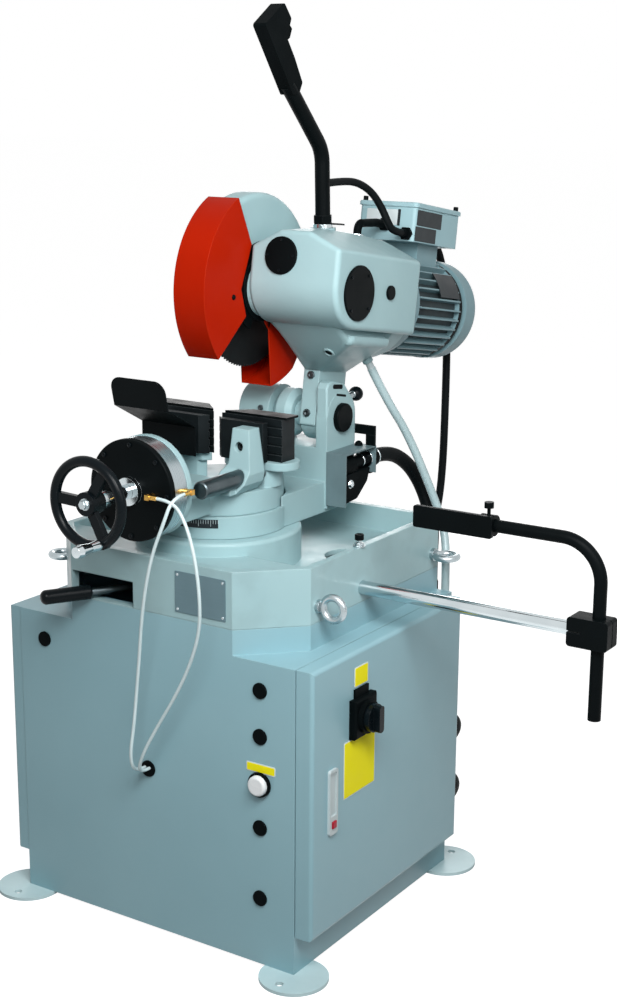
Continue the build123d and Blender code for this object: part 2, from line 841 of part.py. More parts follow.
def make_neck():
    # A rounded ledge under the housing, a groove between the two, and a neck that narrows to the hinge arm.
    ledge = box(ledge_left, ledge_right, ledge_front, ledge_back, ledge_bottom, ledge_top)
    ledge = fillet(ledge.edges().filter_by(Axis.Z), ledge_round)
    ledge = fillet(ledge.faces().sort_by(Axis.Z)[0].edges(), ledge_round - 1)
    g = groove_depth
    seat = box(ledge_left + g, ledge_right - g, ledge_front + g, ledge_back, ledge_top - 1,
               housing_bottom + 1)
    arm_left, arm_right = head_arm()
    middle = (arm_left + arm_right) / 2
    base = Plane.XY.offset(82) * Pos(middle, 1, 0) * Rectangle(head_arm_width, 88)
    ledge_middle = Pos((ledge_left + ledge_right) / 2, (ledge_front + ledge_back) / 2, 0)
    flare = Plane.XY.offset(ledge_bottom + 4) * ledge_middle
    neck = loft([base, flare * Rectangle(ledge_right - ledge_left - g, ledge_back - ledge_front - g)])
    arm = prism_x_round([(-46, -20), (-46, 96), (46, 96), (46, -20)], arm_left, arm_right, 4)
    return ledge + seat + neck + arm + rod_x(arm_left, arm_right, 0, 0, ear_radius - ear_gap)


def head_arm():
    # Left and right side of the hinge arm, beside the right ear.
    right = column_half_width - ear_right_thickness - ear_gap
    return right - head_arm_width, right


def make_head():
    head = make_housing() + make_neck()
    bell = rod_y_axis(motor_x, motor_flange - bell_length, motor_flange, motor_up, motor_radius + bell_margin)
    bell = chamfer(bell.edges().group_by(Axis.Y)[0], bell_chamfer)
    # Left of the housing wall the bell is cut away as far back as the lower guard swings.
    swing_back = spindle_back + chute_radius + 4
    head += bell - box(motor_x - 120, head_left, motor_flange - bell_length - 1, swing_back, motor_up - 120,
                       motor_up + 120)
    head += along_barb(-24, 0, barb_radius + 3)
    head += rod_x(bearing_boss_end, head_left + 2, spindle_back, spindle_up, bearing_boss_radius)
    hub_left, hub_right = ear_left_inner + ear_gap, head_arm()[1]
    head += rod_x(hub_left, hub_right, 0, 0, hub_radius) + make_hood()
    head += handle_rod(handle_seat - 30, handle_seat, handle_boss_radius)
    head -= rod_x(hub_left - 1, hub_right + 1, 0, 0, pivot_radius + running_fit)
    head -= rod_x(bearing_boss_end - 1, head_left + 60, spindle_back, spindle_up,
                  spindle_radius + running_fit)
    head -= handle_rod(-34, 40, tube_radius)
    return head_place(head)


def handle_rod(start, end, radius):
    # Round bar on the handle's own axis, measured up from its socket.
    back, up = handle_socket()
    return Pos(handle_x, back, up) * Rot(handle_lean(), 0, 0) * rod_z_axis(0, 0, start, end, radius)


def handle_socket():
    return (-106.0, 352.0)


def handle_lean():
    # Lean of the handle tube forward of the head's own upright, in degrees about X.
    return 11.0


def along_barb(start, end, radius):
    # Round bar on the coolant outlet's own axis.
    return Plane(origin=barb_place, z_dir=barb_direction) * rod_z_axis(0, 0, start, end, radius)


def barb_point(reach):
    return tuple(Vector(*barb_place) + Vector(*barb_direction).normalized() * reach)


def arc_about_spindle(radius, start, end):
    out = []
    for a in (start, (start + end) / 2, end):
        out.append((spindle_back + radius * cos(radians(a)), spindle_up + radius * sin(radians(a))))
    return out


def make_hood():
    # Fixed blade cover: a rim and two side plates, open at the bottom.
    outer = arc_about_spindle(hood_radius, hood_rear_angle, hood_front_angle)
    inner = arc_about_spindle(hood_inner, hood_front_angle, hood_rear_angle)
    edges = [ThreePointArc(*outer), Line(outer[2], inner[0]), ThreePointArc(*inner), Line(inner[2], outer[0])]
    w = hood_half_width
    hood = extrude(Plane.YZ.offset(-w) * make_face(edges), 2 * w)
    rim = [edge for edge in hood.edges().filter_by(GeomType.CIRCLE) if edge.radius > hood_radius - 1]
    hood = fillet(rim, hood_round)
    pocket = rod_x(-w + hood_sheet, w - hood_sheet, spindle_back, spindle_up, hood_radius - hood_sheet)
    return hood - fillet(pocket.edges().filter_by(GeomType.CIRCLE), hood_round - hood_sheet)


def make_gear_covers():
    front = rod_y_axis(front_cover_x, housing_front - cover_thickness, housing_front, worm_up,
                       front_cover_radius)
    front = fillet(front.edges().group_by(Axis.Y)[0], 1.5)
    side = rod_x(head_right, head_right + cover_thickness, side_cover_back, side_cover_up, side_cover_radius)
    side = fillet(side.edges().group_by(Axis.X)[-1], 1.5)
    glass = rod_x(head_right, head_right + 5, sight_glass_back, sight_glass_up, sight_glass_radius)
    glass = fillet(glass.edges().group_by(Axis.X)[-1], 1.5)
    return head_place(front + side + glass)


# Motor: finned body with end shields, fan cover behind a dark gap
def make_motor():
    v0 = motor_flange
    v1 = v0 + motor_length
    root = motor_radius - fin_height
    outline = []
    step = 360 / fin_count
    half = degrees(1.6 / motor_radius)
    for i in range(fin_count):
        a = i * step
        for r, b in ((root, a - half * 1.5), (motor_radius, a - half), (motor_radius, a + half),
                     (root, a + half * 1.5)):
            outline.append((r * cos(radians(b)), r * sin(radians(b))))
    fins = extrude(face_of(outline), motor_length - motor_shield - 12)
    body = Pos(motor_x, v0 + motor_shield, motor_up) * Rot(-90, 0, 0) * fins
    shield = rod_y_axis(motor_x, v0, v0 + motor_shield, motor_up, motor_radius)
    shield = chamfer(shield.edges().group_by(Axis.Y)[-1], 5)
    rear = rod_y_axis(motor_x, v1 - 12, v1, motor_up, motor_radius - 3)
    neck = rod_y_axis(motor_x, v1, v1 + fan_cover_gap, motor_up, motor_radius - 12)
    foot = box(motor_x - 40, motor_x + 40, box_front + 58, box_back - 38, motor_up + root - 6, box_bottom())
    return head_place(body + shield + rear + neck + foot)


def box_bottom():
    return motor_up + motor_radius + 25


def make_fan_cover():
    v0 = motor_flange + motor_length + fan_cover_gap
    v1 = v0 + fan_cover_length
    cover = rod_y_axis(motor_x, v0, v1, motor_up, motor_radius + 1)
    cover = fillet(cover.edges().group_by(Axis.Y)[-1], 16)
    cover -= rod_y_axis(motor_x, v0 + 4, v1 - 2.5, motor_up, motor_radius - 15)
    for ring, count in ((22, 6), (44, 12), (66, 18)):
        for k in range(count):
            a = radians(360 * k / count)
            cover -= rod_y_axis(motor_x + ring * cos(a), v1 - 4, v1 + 1, motor_up + ring * sin(a), 5.5)
    return head_place(cover)


def make_terminal_box():
    z0 = box_bottom()
    case = box(box_left, box_right, box_front, box_back, z0, z0 + box_height)
    case = fillet(case.edges().filter_by(Axis.Z), 8)
    hollow = box(box_left + 4, box_right - 4, box_front + 4, box_back - 4, z0 + 4, z0 + box_height + 1)
    case -= hollow
    for x, v, z in front_glands():
        case -= rod_y_axis(x, v - 1, v + 5, z, gland_radius)
    x, v, z = cable_start()
    case -= rod_y_axis(x, v - 5, v + 1, z, gland_radius + 3)
    return head_place(case)


def front_glands():
    # The handle cable's gland low at the right, and the gland of the short lead to the gear housing.
    return [(156.0, box_front, box_bottom() + 14), (108.0, box_front, box_bottom() + 29)]


def cable_start():
    return (80.0, box_back, box_bottom() + 22)


def make_terminal_lid():
    z0 = box_bottom() + box_height
    lid = box(box_left - 3, box_right + 3, box_front - 3, box_back + 3, z0, z0 + lid_height)
    lid = fillet(lid.edges().filter_by(Axis.Z), 9)
    lid = chamfer(lid.faces().sort_by(Axis.Z)[-1].edges(), 2)
    return head_place(lid)


def make_cable_glands():
    glands = Part()
    for x, v, z in front_glands():
        nut = Pos(x, v - 4, z) * Rot(90, 0, 0) * extrude(RegularPolygon(gland_radius + 5, 6), 4, both=True)
        glands += nut + rod_y_axis(x, v - 20, v + 6, z, gland_radius - 0.3)
    x, v, z = cable_start()
    r = gland_radius + 3
    nut = Pos(x, v + 4, z) * Rot(90, 0, 0) * extrude(RegularPolygon(r + 5, 6), 4, both=True)
    glands += nut + rod_y_axis(x, v - 6, v + 18, z, r - 0.3)
    glands += along_barb(0, barb_length, barb_radius)
    return head_place(glands + make_short_lead())


def make_short_lead():
    # Thick lead from the second gland down to the top of the gear housing, where it ends in a boot.
    x, v, w = front_glands()[1]
    foot = (x + 5, 10)
    path = FilletPolyline((foot[0], foot[1], housing_top - 30), (foot[0], foot[1], w - 8), (x, v - 36, w),
                          (x, v - 20, w),
                          radius=[14, 24])
    lead = sweep(Plane(origin=path @ 0, z_dir=path % 0) * Circle(gland_radius - 0.3), path=path)
    boot = rod_z_axis(foot[0], foot[1], housing_top - 30, housing_top - 1, gland_radius + 3)
    return (lead + boot) - make_housing()


# Black domed cover over the return spring on the hinge hub
def make_spring_cover():
    left = ear_left_inner + ear_gap + 1
    right = left + spring_cover_length
    inner = hub_radius + 0.3
    outer = ear_radius - ear_gap - 1
    profile = [(left, inner), (left, outer - 10), (left + 10, outer), (right - 10, outer),
               (right, outer - 10), (right, inner)]
    ring = revolve(Plane.XZ * face_of(profile), Axis.X)
    return head_place(ring)


# Saw blade with its teeth, and the two clamping flanges on the spindle
def make_blade():
    outline = []
    step = 360 / blade_teeth
    for i in range(blade_teeth):
        a = radians(i * step)
        b = radians((i + 0.8) * step)
        outline.append((blade_radius * cos(a), blade_radius * sin(a)))
        outline.append(((blade_radius - blade_tooth_depth) * cos(b),
                        (blade_radius - blade_tooth_depth) * sin(b)))
    disc = extrude(face_of(outline), blade_thickness / 2, both=True)
    disc -= Cylinder(spindle_radius + running_fit, 4 * blade_thickness)
    return head_place(Pos(0, spindle_back, spindle_up) * Rot(0, 90, 0) * disc)


def make_flanges():
    t = blade_thickness / 2
    inner = rod_x(t, t + flange_thickness, spindle_back, spindle_up, flange_radius)
    outer = rod_x(-t - flange_thickness, -t, spindle_back, spindle_up, flange_radius)
    outer = chamfer(outer.edges().group_by(Axis.X)[0], 4)
    spindle = rod_x(-t, head_left + 50, spindle_back, spindle_up, spindle_radius)
    bolt = extrude(RegularPolygon(15, 6), 10)
    bolt = Pos(-t - flange_thickness, spindle_back, spindle_up) * Rot(0, -90, 0) * bolt
    return head_place(inner + outer + spindle + bolt)


# Orange front guard, open towards the spindle
def make_front_guard():
    w = guard_half_width
    top, middle, low = arc_about_spindle(guard_radius, guard_top_angle, guard_low_angle)
    line = Polyline(low, (-207, 170), (-229, 216), (-225, 232), (-209, 296), top)
    outer = extrude(Plane.YZ.offset(-w) * make_face([ThreePointArc(top, middle, low), line]), 2 * w)
    pocket = rod_x(-w + guard_sheet, w - guard_sheet, spindle_back, spindle_up, guard_radius - guard_sheet)
    return head_place(outer - pocket)


def make_guard_carrier():
    # A narrow bearing ring; only its front, which swings up and away from the vise, is wide.
    x0, x1 = carrier_near, carrier_far
    ring = rod_x(x0, x1, spindle_back, spindle_up, carrier_ring_radius)
    wide = arc_about_spindle(carrier_radius, 100, 250)
    front = make_face([ThreePointArc(*wide), Polyline(wide[2], (spindle_back, spindle_up), wide[0])])
    lobe = rod_x(x0, x1, -250, 200, 16)
    web = prism_x([(-250, 216), (-200, 260), (-190, 170), (-250, 184)], x0, x1)
    plate = ring + extrude(Plane.YZ.offset(x0) * front, x1 - x0) + lobe + web
    plate -= rod_x(x0 - 1, x1 + 1, spindle_back, spindle_up, bearing_boss_radius + running_fit)
    return head_place(plate)


# Orange lower guard: a trough round the bottom of the blade with a bearing ring on the spindle boss
def make_chute():
    w = guard_half_width
    start = degrees(atan2(-177, 51))
    end = degrees(atan2(-142, 117))
    arc = arc_about_spindle(chute_radius, start, end)
    line = Polyline(arc[2], (-22, 118), (-30, 158), (-135, 160), arc[0])
    outer = extrude(Plane.YZ.offset(-w) * make_face([ThreePointArc(*arc), line]), 2 * w)
    trough = outer - rod_x(-w + guard_sheet, w - guard_sheet, spindle_back, spindle_up,
                           chute_radius - guard_sheet)
    x0, x1 = w - guard_sheet, w
    ring = rod_x(x0, x1, spindle_back, spindle_up, bearing_boss_radius + 9)
    web = prism_x([(-190, 200), (-110, 214), (-70, 150), (-134, 150)], x0, x1)
    trough += ring + web
    trough -= rod_x(x0 - 1, x1 + 1, spindle_back, spindle_up, bearing_boss_radius + running_fit)
    return head_place(trough)


# Handle: bent tube in a socket, pistol grip with finger hollows, trigger


def make_handle_tube():
    y, z = handle_socket()
    a = radians(handle_lean())
    foot = (handle_x, y + 34 * sin(a), z - 34 * cos(a))
    elbow = (handle_x, y - 122 * sin(a), z + 122 * cos(a))
    path = FilletPolyline(foot, elbow, (handle_x, -256, 566), radius=60)
    tube = sweep(Plane(origin=path @ 0, z_dir=path % 0) * Circle(tube_radius), path=path)
    ring_top = handle_seat + handle_ring_height
    ring = handle_rod(handle_seat, ring_top, handle_ring_radius)
    nut = Pos(0, 0, ring_top) * extrude(RegularPolygon(handle_nut_radius, 6), handle_nut_height)
    nut = Pos(handle_x, y, z) * Rot(handle_lean(), 0, 0) * nut
    y1, z1 = cable_exit()
    stub = rod_y_axis(0, -tube_radius - cable_stub, 0, 0, handle_cable_radius + 1.5)
    stub = Pos(handle_x, y1, z1) * Rot(handle_lean(), 0, 0) * stub
    return head_place(tube + ring + nut + stub)


def cable_exit():
    # Mouth of the short stub where the switch cable leaves the handle tube.
    a = radians(handle_lean())
    y, z = handle_socket()
    out = tube_radius + cable_stub
    return (y - cable_exit_rise * sin(a) + out * cos(a), z + cable_exit_rise * cos(a) + out * sin(a))


def make_grip():
    grip = prism_x_round(grip_profile, handle_x - grip_thickness / 2, handle_x + grip_thickness / 2, 5)
    y, z = handle_socket()
    a = radians(handle_lean())
    elbow = (handle_x, y - 122 * sin(a), z + 122 * cos(a))
    path = FilletPolyline((handle_x, y, z), elbow, (handle_x, -256, 566), radius=60)
    grip -= sweep(Plane(origin=path @ 0, z_dir=path % 0) * Circle(tube_radius + 0.1), path=path)
    grip -= trigger_pocket()
    return head_place(grip)


def trigger_pocket():
    w = trigger_width / 2 + 0.6
    return prism_x([(-300, 628), (-306, 658), (-268, 664), (-262, 634)], handle_x - w, handle_x + w)


def make_trigger():
    w = trigger_width / 2
    bar = prism_x_round([(-290, 634), (-295, 654), (-275, 661), (-266, 656), (-270, 640), (-278, 634)],
                        handle_x - w, handle_x + w, 2.5)
    return head_place(bar)


# Vise base: upper turntable ring, bed and cylinder flange in front, two mitred table wings
def wing(y_front, y_back, inner, end, end_radius, z0, z1):
    # Plan shape of the right table wing about the swivel axis; its inner end leaves room for the blade at
    # 45 degrees.
    yc = (y_front + y_back) / 2
    pts = [(inner - y_front, y_front), (end, y_front)]
    line_a = Polyline((inner, 0), pts[0], pts[1])
    arc = ThreePointArc(pts[1], (end + end_radius, yc), (end, y_back))
    line_b = Polyline((end, y_back), (inner + y_back, y_back), (inner, 0))
    return Pos(0, swivel_y, z0) * extrude(make_face([line_a, arc, line_b]), z1 - z0)


def make_vise_base():
    ring = rod_z_axis(0, swivel_y, vise_bottom, vise_deck, upper_ring_radius)
    flange_back = cylinder_back + cylinder_flange_thickness
    bed = box(-58, 58, cylinder_back, swivel_y, vise_bottom + 4, vise_deck)
    base = ring + bed
    flange = rod_y_axis(0, cylinder_back, flange_back, vise_axis_z, cylinder_radius)
    base += flange
    for x in (-50, 42):
        base += prism_x([(flange_back - 1, vise_deck - 1), (flange_back - 1, vise_axis_z - 4),
                         (flange_back + 26, vise_deck - 1)], x, x + 8)
    back = jaw_depth + 13
    for flip in (False, True):
        top = wing(-13, back, jaw_blade_gap + 5, 123, 33, table_top - table_thickness, table_top)
        foot = wing(-13, back - 9, jaw_blade_gap + 16, bar_x + 14, 12, vise_deck - 1,
                    table_top - table_thickness + 1)
        side = top + foot
        side -= rod_y_axis(bar_x, swivel_y - 14, swivel_y + 32, vise_axis_z, bar_radius)
        base += mirror_x(side) if flip else side
    base -= rod_z_axis(0, swivel_y, vise_bottom - 1, vise_deck - 12, king_pin_radius)
    base -= rod_y_axis(0, cylinder_back - 1, flange_back + 1, vise_axis_z, screw_radius + 4)
    return base


def jaw_plan(face_y, depth, inner, end):
    # Plan of a right-hand jaw block; its inner end is mitred away from the blade.
    d = 1 if depth > 0 else -1
    return [(inner, face_y), (end, face_y), (end, face_y + depth), (inner + d * depth, face_y + depth)]


def make_fixed_jaws():
    right = prism_z(jaw_plan(jaw_face, jaw_depth, jaw_blade_gap, jaw_half_length), table_top,
                    table_top + jaw_height)
    for k in range(4):
        z = table_top + 12 + 16 * k
        right -= box(0, jaw_half_length + 1, jaw_face - 1, jaw_face + 1.5, z, z + 4)
    return right + mirror_x(right)


def make_top_plates():
    z0 = table_top + jaw_height
    right = prism_z(jaw_plan(jaw_face + 4, jaw_depth - 4, jaw_blade_gap + 4, top_plate_end), z0,
                    z0 + top_plate_thickness)
    return right + mirror_x(right)


def make_guide_bars():
    bar = rod_y_axis(bar_x, bar_front, swivel_y + 32, vise_axis_z, bar_radius)
    bar = chamfer(bar.edges().group_by(Axis.Y)[0], 2)
    return bar + mirror_x(bar)


def make_barrel():
    tube = rod_y_axis(0, cylinder_front + cylinder_cover_thickness, cylinder_back, vise_axis_z,
                      cylinder_radius - 1)
    tube -= rod_y_axis(0, cylinder_front, cylinder_back + 1, vise_axis_z, cylinder_radius - 10)
    return tube


def make_cylinder_cover():
    y1 = cylinder_front + cylinder_cover_thickness
    cover = rod_y_axis(0, cylinder_front, y1, vise_axis_z, cylinder_radius)
    cover = fillet(cover.edges().group_by(Axis.Y)[0], 3)
    cover += rod_y_axis(0, cylinder_front - 10, cylinder_front + 1, vise_axis_z, 24)
    cover -= rod_y_axis(0, cylinder_front - 11, y1 + 1, vise_axis_z, screw_radius + 0.3)
    return cover


def front_mouth():
    return (front_fitting[0] + elbow_size / 2 + elbow_spout, cylinder_front - 13, front_fitting[1])


def side_mouth():
    return (cylinder_radius + 12, side_fitting[0] - elbow_size / 2 - elbow_spout, side_fitting[1])


def make_air_fittings():
    # Two brass elbows: one in the front cover with its spout to the right, one in the barrel's side facing
    # forward.
    x, y, z = front_mouth()
    front = rod_y_axis(front_fitting[0], y, cylinder_front, z, 5)
    front += Pos(front_fitting[0], y, z) * Box(elbow_size, elbow_size, elbow_size)
    front += rod_x(front_fitting[0], x, y, z, air_hose_radius + 1.2)
    x, y, z = side_mouth()
    r = cylinder_radius - 1
    side = rod_x(r - 4, x, side_fitting[0], z, 5) - rod_y_axis(0, -400, -200, vise_axis_z, r)
    side += Pos(x, side_fitting[0], z) * Box(elbow_size, elbow_size, elbow_size)
    side += rod_y_axis(x, y, side_fitting[0], z, air_hose_radius + 1.2)
    return front + side


# Moving jaw carriage: cross beam, nut lug and two sloping arms that slide on the guide bars
def carriage_arm():
    # The right arm, where a side outline and a front outline cross: its toe spreads forwards and inwards.
    z0 = carriage_bottom()
    shoulder = vise_axis_z + 8
    side = [(arm_front - arm_toe, z0), (arm_front - arm_slope, shoulder + 8), (arm_front, arm_top),
            (pad_back, arm_top), (pad_back, z0)]
    face = [(arm_inner - arm_flare - 4, z0), (arm_inner - arm_flare, shoulder), (arm_inner, shoulder + 16),
            (arm_inner, arm_top), (arm_outer, arm_top), (arm_outer + 12, shoulder),
            (arm_outer + 9, vise_axis_z - 9),
            (arm_outer - 4, z0)]
    arm = prism_x(side, arm_inner - 40, arm_outer + 40) & prism_y(face, arm_front - arm_toe - 1, pad_back + 1)
    middle = (arm_inner + arm_outer) / 2
    arm -= rod_y_axis(middle, arm_front - arm_slope, arm_front + 9, bolt_height(), 8.5)
    arm -= rod_y_axis(middle, arm_front, pad_back + 2, bolt_height(), 5.3)
    return arm


def carriage_bottom():
    return vise_deck + 1.5


def make_carriage():
    z0 = carriage_bottom()
    beam_front = arm_front - 50
    lug_back = beam_front - 10
    beam = box(-bar_x - 6, bar_x + 6, beam_front, arm_front + 8, z0, z0 + 13)
    lug = rod_y_axis(0, lug_back - 16, lug_back, vise_axis_z, screw_radius + 4)
    lug += box(-screw_radius - 12, screw_radius + 12, lug_back - 16, lug_back, z0, vise_axis_z - 6)
    lug += box(-screw_radius - 12, screw_radius + 12, lug_back - 1, beam_front + 1, z0, z0 + 13)
    right = carriage_arm()
    left = mirror_x(right) - box(chip_left, chip_right, beam_front, arm_front, chip_bottom - 0.5, arm_top + 1)
    carriage = beam + lug + right + left
    for s in (-1, 1):
        carriage -= rod_y_axis(s * bar_x, -400, 0, vise_axis_z, bar_radius + running_fit)
    carriage -= rod_y_axis(0, -400, 0, vise_axis_z, screw_radius + 0.3)
    return carriage


def bolt_height():
    return arm_top - 31


def make_moving_jaws():
    z0 = table_top + 1
    inner = jaw_blade_gap + 2
    plan = [(inner, moving_face), (pad_half_length, moving_face), (pad_half_length, pad_back),
            (inner + pad_thickness, pad_back)]
    pad = prism_z(plan, z0, z0 + pad_height)
    for k in range(4):
        z = z0 + 10 + 15 * k
        pad -= box(0, pad_half_length + 1, moving_face - 1.5, moving_face + 1, z, z + 4)
    middle = (arm_inner + arm_outer) / 2
    screw = rod_y_axis(middle, arm_front + 1.5, pad_back, bolt_height(), 5)
    screw += rod_y_axis(middle, arm_front + 1, arm_front + 8.8, bolt_height(), 8)
    socket = extrude(RegularPolygon(4.5, 6), 5, both=True)
    screw -= Pos(middle, arm_front, bolt_height()) * Rot(90, 0, 0) * socket
    right = pad + screw
    return right + mirror_x(right)


def make_chip_guard():
    t = chip_sheet
    y = arm_front - t
    z1, z2 = chip_bend, chip_bend + chip_rise
    front = [(y, chip_bottom), (y, z1), (y - chip_reach, z2), (y - chip_reach - chip_lean, z2 + chip_flap)]
    back = [(y + t, chip_bottom), (y + t, z1 + 1.2), (y - chip_reach + 1.4, z2 + 1.4),
            (y - chip_reach - chip_lean + t, z2 + chip_flap)]
    bent = prism_x(front + back[::-1], chip_left, chip_right)
    outline = face_of([(chip_left, chip_bottom - 1), (chip_right, chip_bottom - 1),
                       (chip_right, z2 + chip_flap), (chip_left, z2 + chip_flap)])
    outline = fillet(outline.vertices().group_by(Axis.Y)[-1], 22)
    return bent & extrude(Plane.XZ.offset(-arm_front + 120) * outline, -140)


# Hand wheel with three spokes, screw with its collar, and the crank handle
def make_wheel():
    rim = Torus(wheel_radius - wheel_rim_radius, wheel_rim_radius)
    rim = Pos(0, wheel_y, vise_axis_z) * Rot(90, 0, 0) * rim
    hub = rod_y_axis(0, wheel_y - 8, wheel_y + 22, vise_axis_z, 20)
    wheel = rim + hub
    for k in range(3):
        reach = wheel_radius - wheel_rim_radius
        spoke = prism_y([(14, -spoke_half_width), (reach, -spoke_half_width), (reach, spoke_half_width),
                         (14, spoke_half_width)], wheel_y - 3, wheel_y + 7)
        wheel += Pos(0, 0, vise_axis_z) * Rot(0, crank_turn() + 120 * k, 0) * spoke
    x, z = crank_place()
    wheel += rod_y_axis(x, wheel_y - 6, wheel_y + 6, z, 10)
    wheel -= rod_y_axis(x, wheel_y - 11, wheel_y + 11, z, 4.0 + running_fit)
    wheel -= rod_y_axis(0, wheel_y - 9, wheel_y + 23, vise_axis_z, screw_radius)
    return wheel


def crank_turn():
    return 62.0


def crank_place():
    r = wheel_radius - wheel_rim_radius
    a = radians(crank_turn())
    return (r * cos(a), vise_axis_z - r * sin(a))


def make_crank_handle():
    x, z = crank_place()
    pin = rod_y_axis(x, wheel_y - 10, wheel_y + 6, z, 4)
    profile = [(0, 0), (7, 0), (9, 8), (8, 26), (11, 50), (9, 60), (0, 62)]
    body = revolve(face_of(profile), Axis.Y)
    body = Pos(x, wheel_y - 10, z) * Rot(180, 0, 0) * body
    return body + pin


def make_screw():
    end = arm_front - 52
    screw = rod_y_axis(0, wheel_y - 8, end - 1, vise_axis_z, screw_radius)
    collar = rod_y_axis(0, wheel_y + 22, wheel_y + 46, vise_axis_z, 17)
    collar = chamfer(collar.edges().group_by(Axis.Y)[-1], 4)
    sleeve = rod_y_axis(0, wheel_y + 46, cylinder_front - 10.4, vise_axis_z, 13)
    return screw + collar + sleeve


# Length stop: rod, clamp, bent bar and flat stop
def make_stop_rod():
    rod = rod_x(rod_start, rod_end, rod_y, rod_z, rod_radius)
    return chamfer(rod.edges().group_by(Axis.X)[0], 1.5)


def make_stop_clamp():
    block = box(rod_end - 26, stop_bar_x + 24, rod_y - 20, rod_y + 20, rod_z - 25, rod_z + 25)
    block = fillet(block.edges().filter_by(Axis.Y), 6)
    block -= rod_x(rod_end - 27, rod_end + 0.2, rod_y, rod_z, rod_radius + running_fit)
    block -= rod_z_axis(stop_bar_x, rod_y, rod_z - 26, rod_z + 26, stop_bar_radius + running_fit)
    block -= box(rod_end - 27, rod_end - 2, rod_y - 21, rod_y, rod_z - 1.5, rod_z + 1.5)
    block -= box(stop_bar_x, stop_bar_x + 25, rod_y - 1.5, rod_y + 1.5, rod_z - 26, rod_z + 26)
    return block


def make_stop_arm():
    path = FilletPolyline((stop_bar_x, rod_y, stop_bar_bottom), (stop_bar_x, rod_y, stop_bar_top),
                          (stop_bar_end, rod_y, stop_bar_top), radius=stop_bend)
    bar = sweep(Plane(origin=path @ 0, z_dir=path % 0) * Circle(stop_bar_radius), path=path)
    return bar


def make_stop_plate():
    z = stop_bar_top
    h = stop_plate_height / 2
    plate = box(stop_plate_left, stop_bar_end + 32, rod_y - stop_bar_radius - 0.3 - stop_plate_thickness,
                rod_y - stop_bar_radius - 0.3,
                z - h, z + h)
    plate = fillet(plate.edges().filter_by(Axis.Y), 4)
    hoop = rod_x(stop_bar_end + 4, stop_bar_end + 30, rod_y, z, stop_bar_radius + 7)
    hoop += box(stop_bar_end + 4, stop_bar_end + 30, rod_y - stop_bar_radius - 5, rod_y, z - h + 4, z + h - 4)
    hoop -= rod_x(stop_bar_end + 3, stop_bar_end + 31, rod_y, z, stop_bar_radius + running_fit)
    stem = rod_z_axis(stop_bar_end + 17, rod_y, z + stop_bar_radius + 3, z + stop_bar_radius + 20, 3)
    knob = rod_z_axis(stop_bar_end + 17, rod_y, z + stop_bar_radius + 18, z + stop_bar_radius + 28, 8)
    return plate + hoop + stem + knob


# Cord routes: each leaves and enters its fitting square on
def air_routes():
    x, y, z = front_mouth()
    gy = -half_depth - 4
    gz = grommet_height + 3
    right = [(x, y, z), (x + 34, y, z), (130, y - 7, z - 28), (150, y - 9, z - 80), (160, y - 9, z - 148),
             (152, -324, 615),
             (126, -316, 550), (88, -310, 482), (46, -310, 416), (14, -314, 356),
             (grommet_x + 5, gy - 31, gz),
             (grommet_x + 5, gy, gz)]
    x, y, z = side_mouth()
    left = [(x, y, z), (x, y - 32, z), (x - 10, y - 45, z - 44), (68, -340, 740), (48, -336, 676),
            (30, -326, 610), (16, -316, 545),
            (2, -308, 476), (-6, -308, 408), (-10, -316, 352), (grommet_x - 5, gy - 29, gz),
            (grommet_x - 5, gy, gz)]
    return right, left


def make_air_hoses():
    right, left = air_routes()
    return cord("air hose right", right, air_hose_radius) + cord("air hose left", left, air_hose_radius)


def make_handle_cable():
    x, v, z = front_glands()[0]
    y0, z0 = cable_exit()
    a = radians(handle_lean())
    pts = [(handle_x, y0, z0), (handle_x, y0 + 42 * cos(a), z0 + 42 * sin(a)), (116, -14, 431),
           (127, 24, 418), (140, 45, 390),
           (150, 52, 367), (x, v - 54, z), (x, v - 20, z)]
    return cord("handle cable", [head_point(*p) for p in pts], handle_cable_radius)


def make_motor_cable_upper():
    x, v, z = cable_start()
    pts = [head_point(x, v + 18, z), head_point(x, v + 67, z), (83, 596, 1150), (90, 602, 1085),
           (102, 594, 985), (108.2, 583.4, 890), cable_middle]
    return cord("motor cable upper", pts, motor_cable_radius)


def make_motor_cable_lower():
    x, z = cable_entry
    pts = [cable_middle, (112, 572, 700), (110, 548, 610), (106, 484, 540), (106, 404, 506), (x, 345, z),
           (x, half_depth + gland_reach, z)]
    return cord("motor cable lower", pts, motor_cable_radius)


def make_coolant_upper():
    start = head_point(*barb_point(barb_length))
    pts = [start, head_point(*barb_point(barb_length + 66)), (188, 293, 846), coolant_middle]
    return cord("coolant hose upper", pts, coolant_hose_radius)


def make_coolant_lower():
    mouth = elbow_mouth(coolant_entry, coolant_reach)
    pts = [coolant_middle, (228, 339, 706), (258, 322, 652), (mouth[0], mouth[1], 592), mouth]
    return cord("coolant hose lower", pts, coolant_hose_radius)


def make_conduit():
    mouth = elbow_mouth(conduit_entry, conduit_reach)
    x, z = fitting_x(), fitting_z()
    y = bracket_back + 18
    pts = [(x, y, z), (x, y + 60, z), (x + 18, y + 110, z - 31), (x + 41, y + 132, z - 85),
           (x + 68, y + 122, z - 148),
           (mouth[0], mouth[1], z - 202), mouth]
    return cord("conduit", pts, conduit_radius)


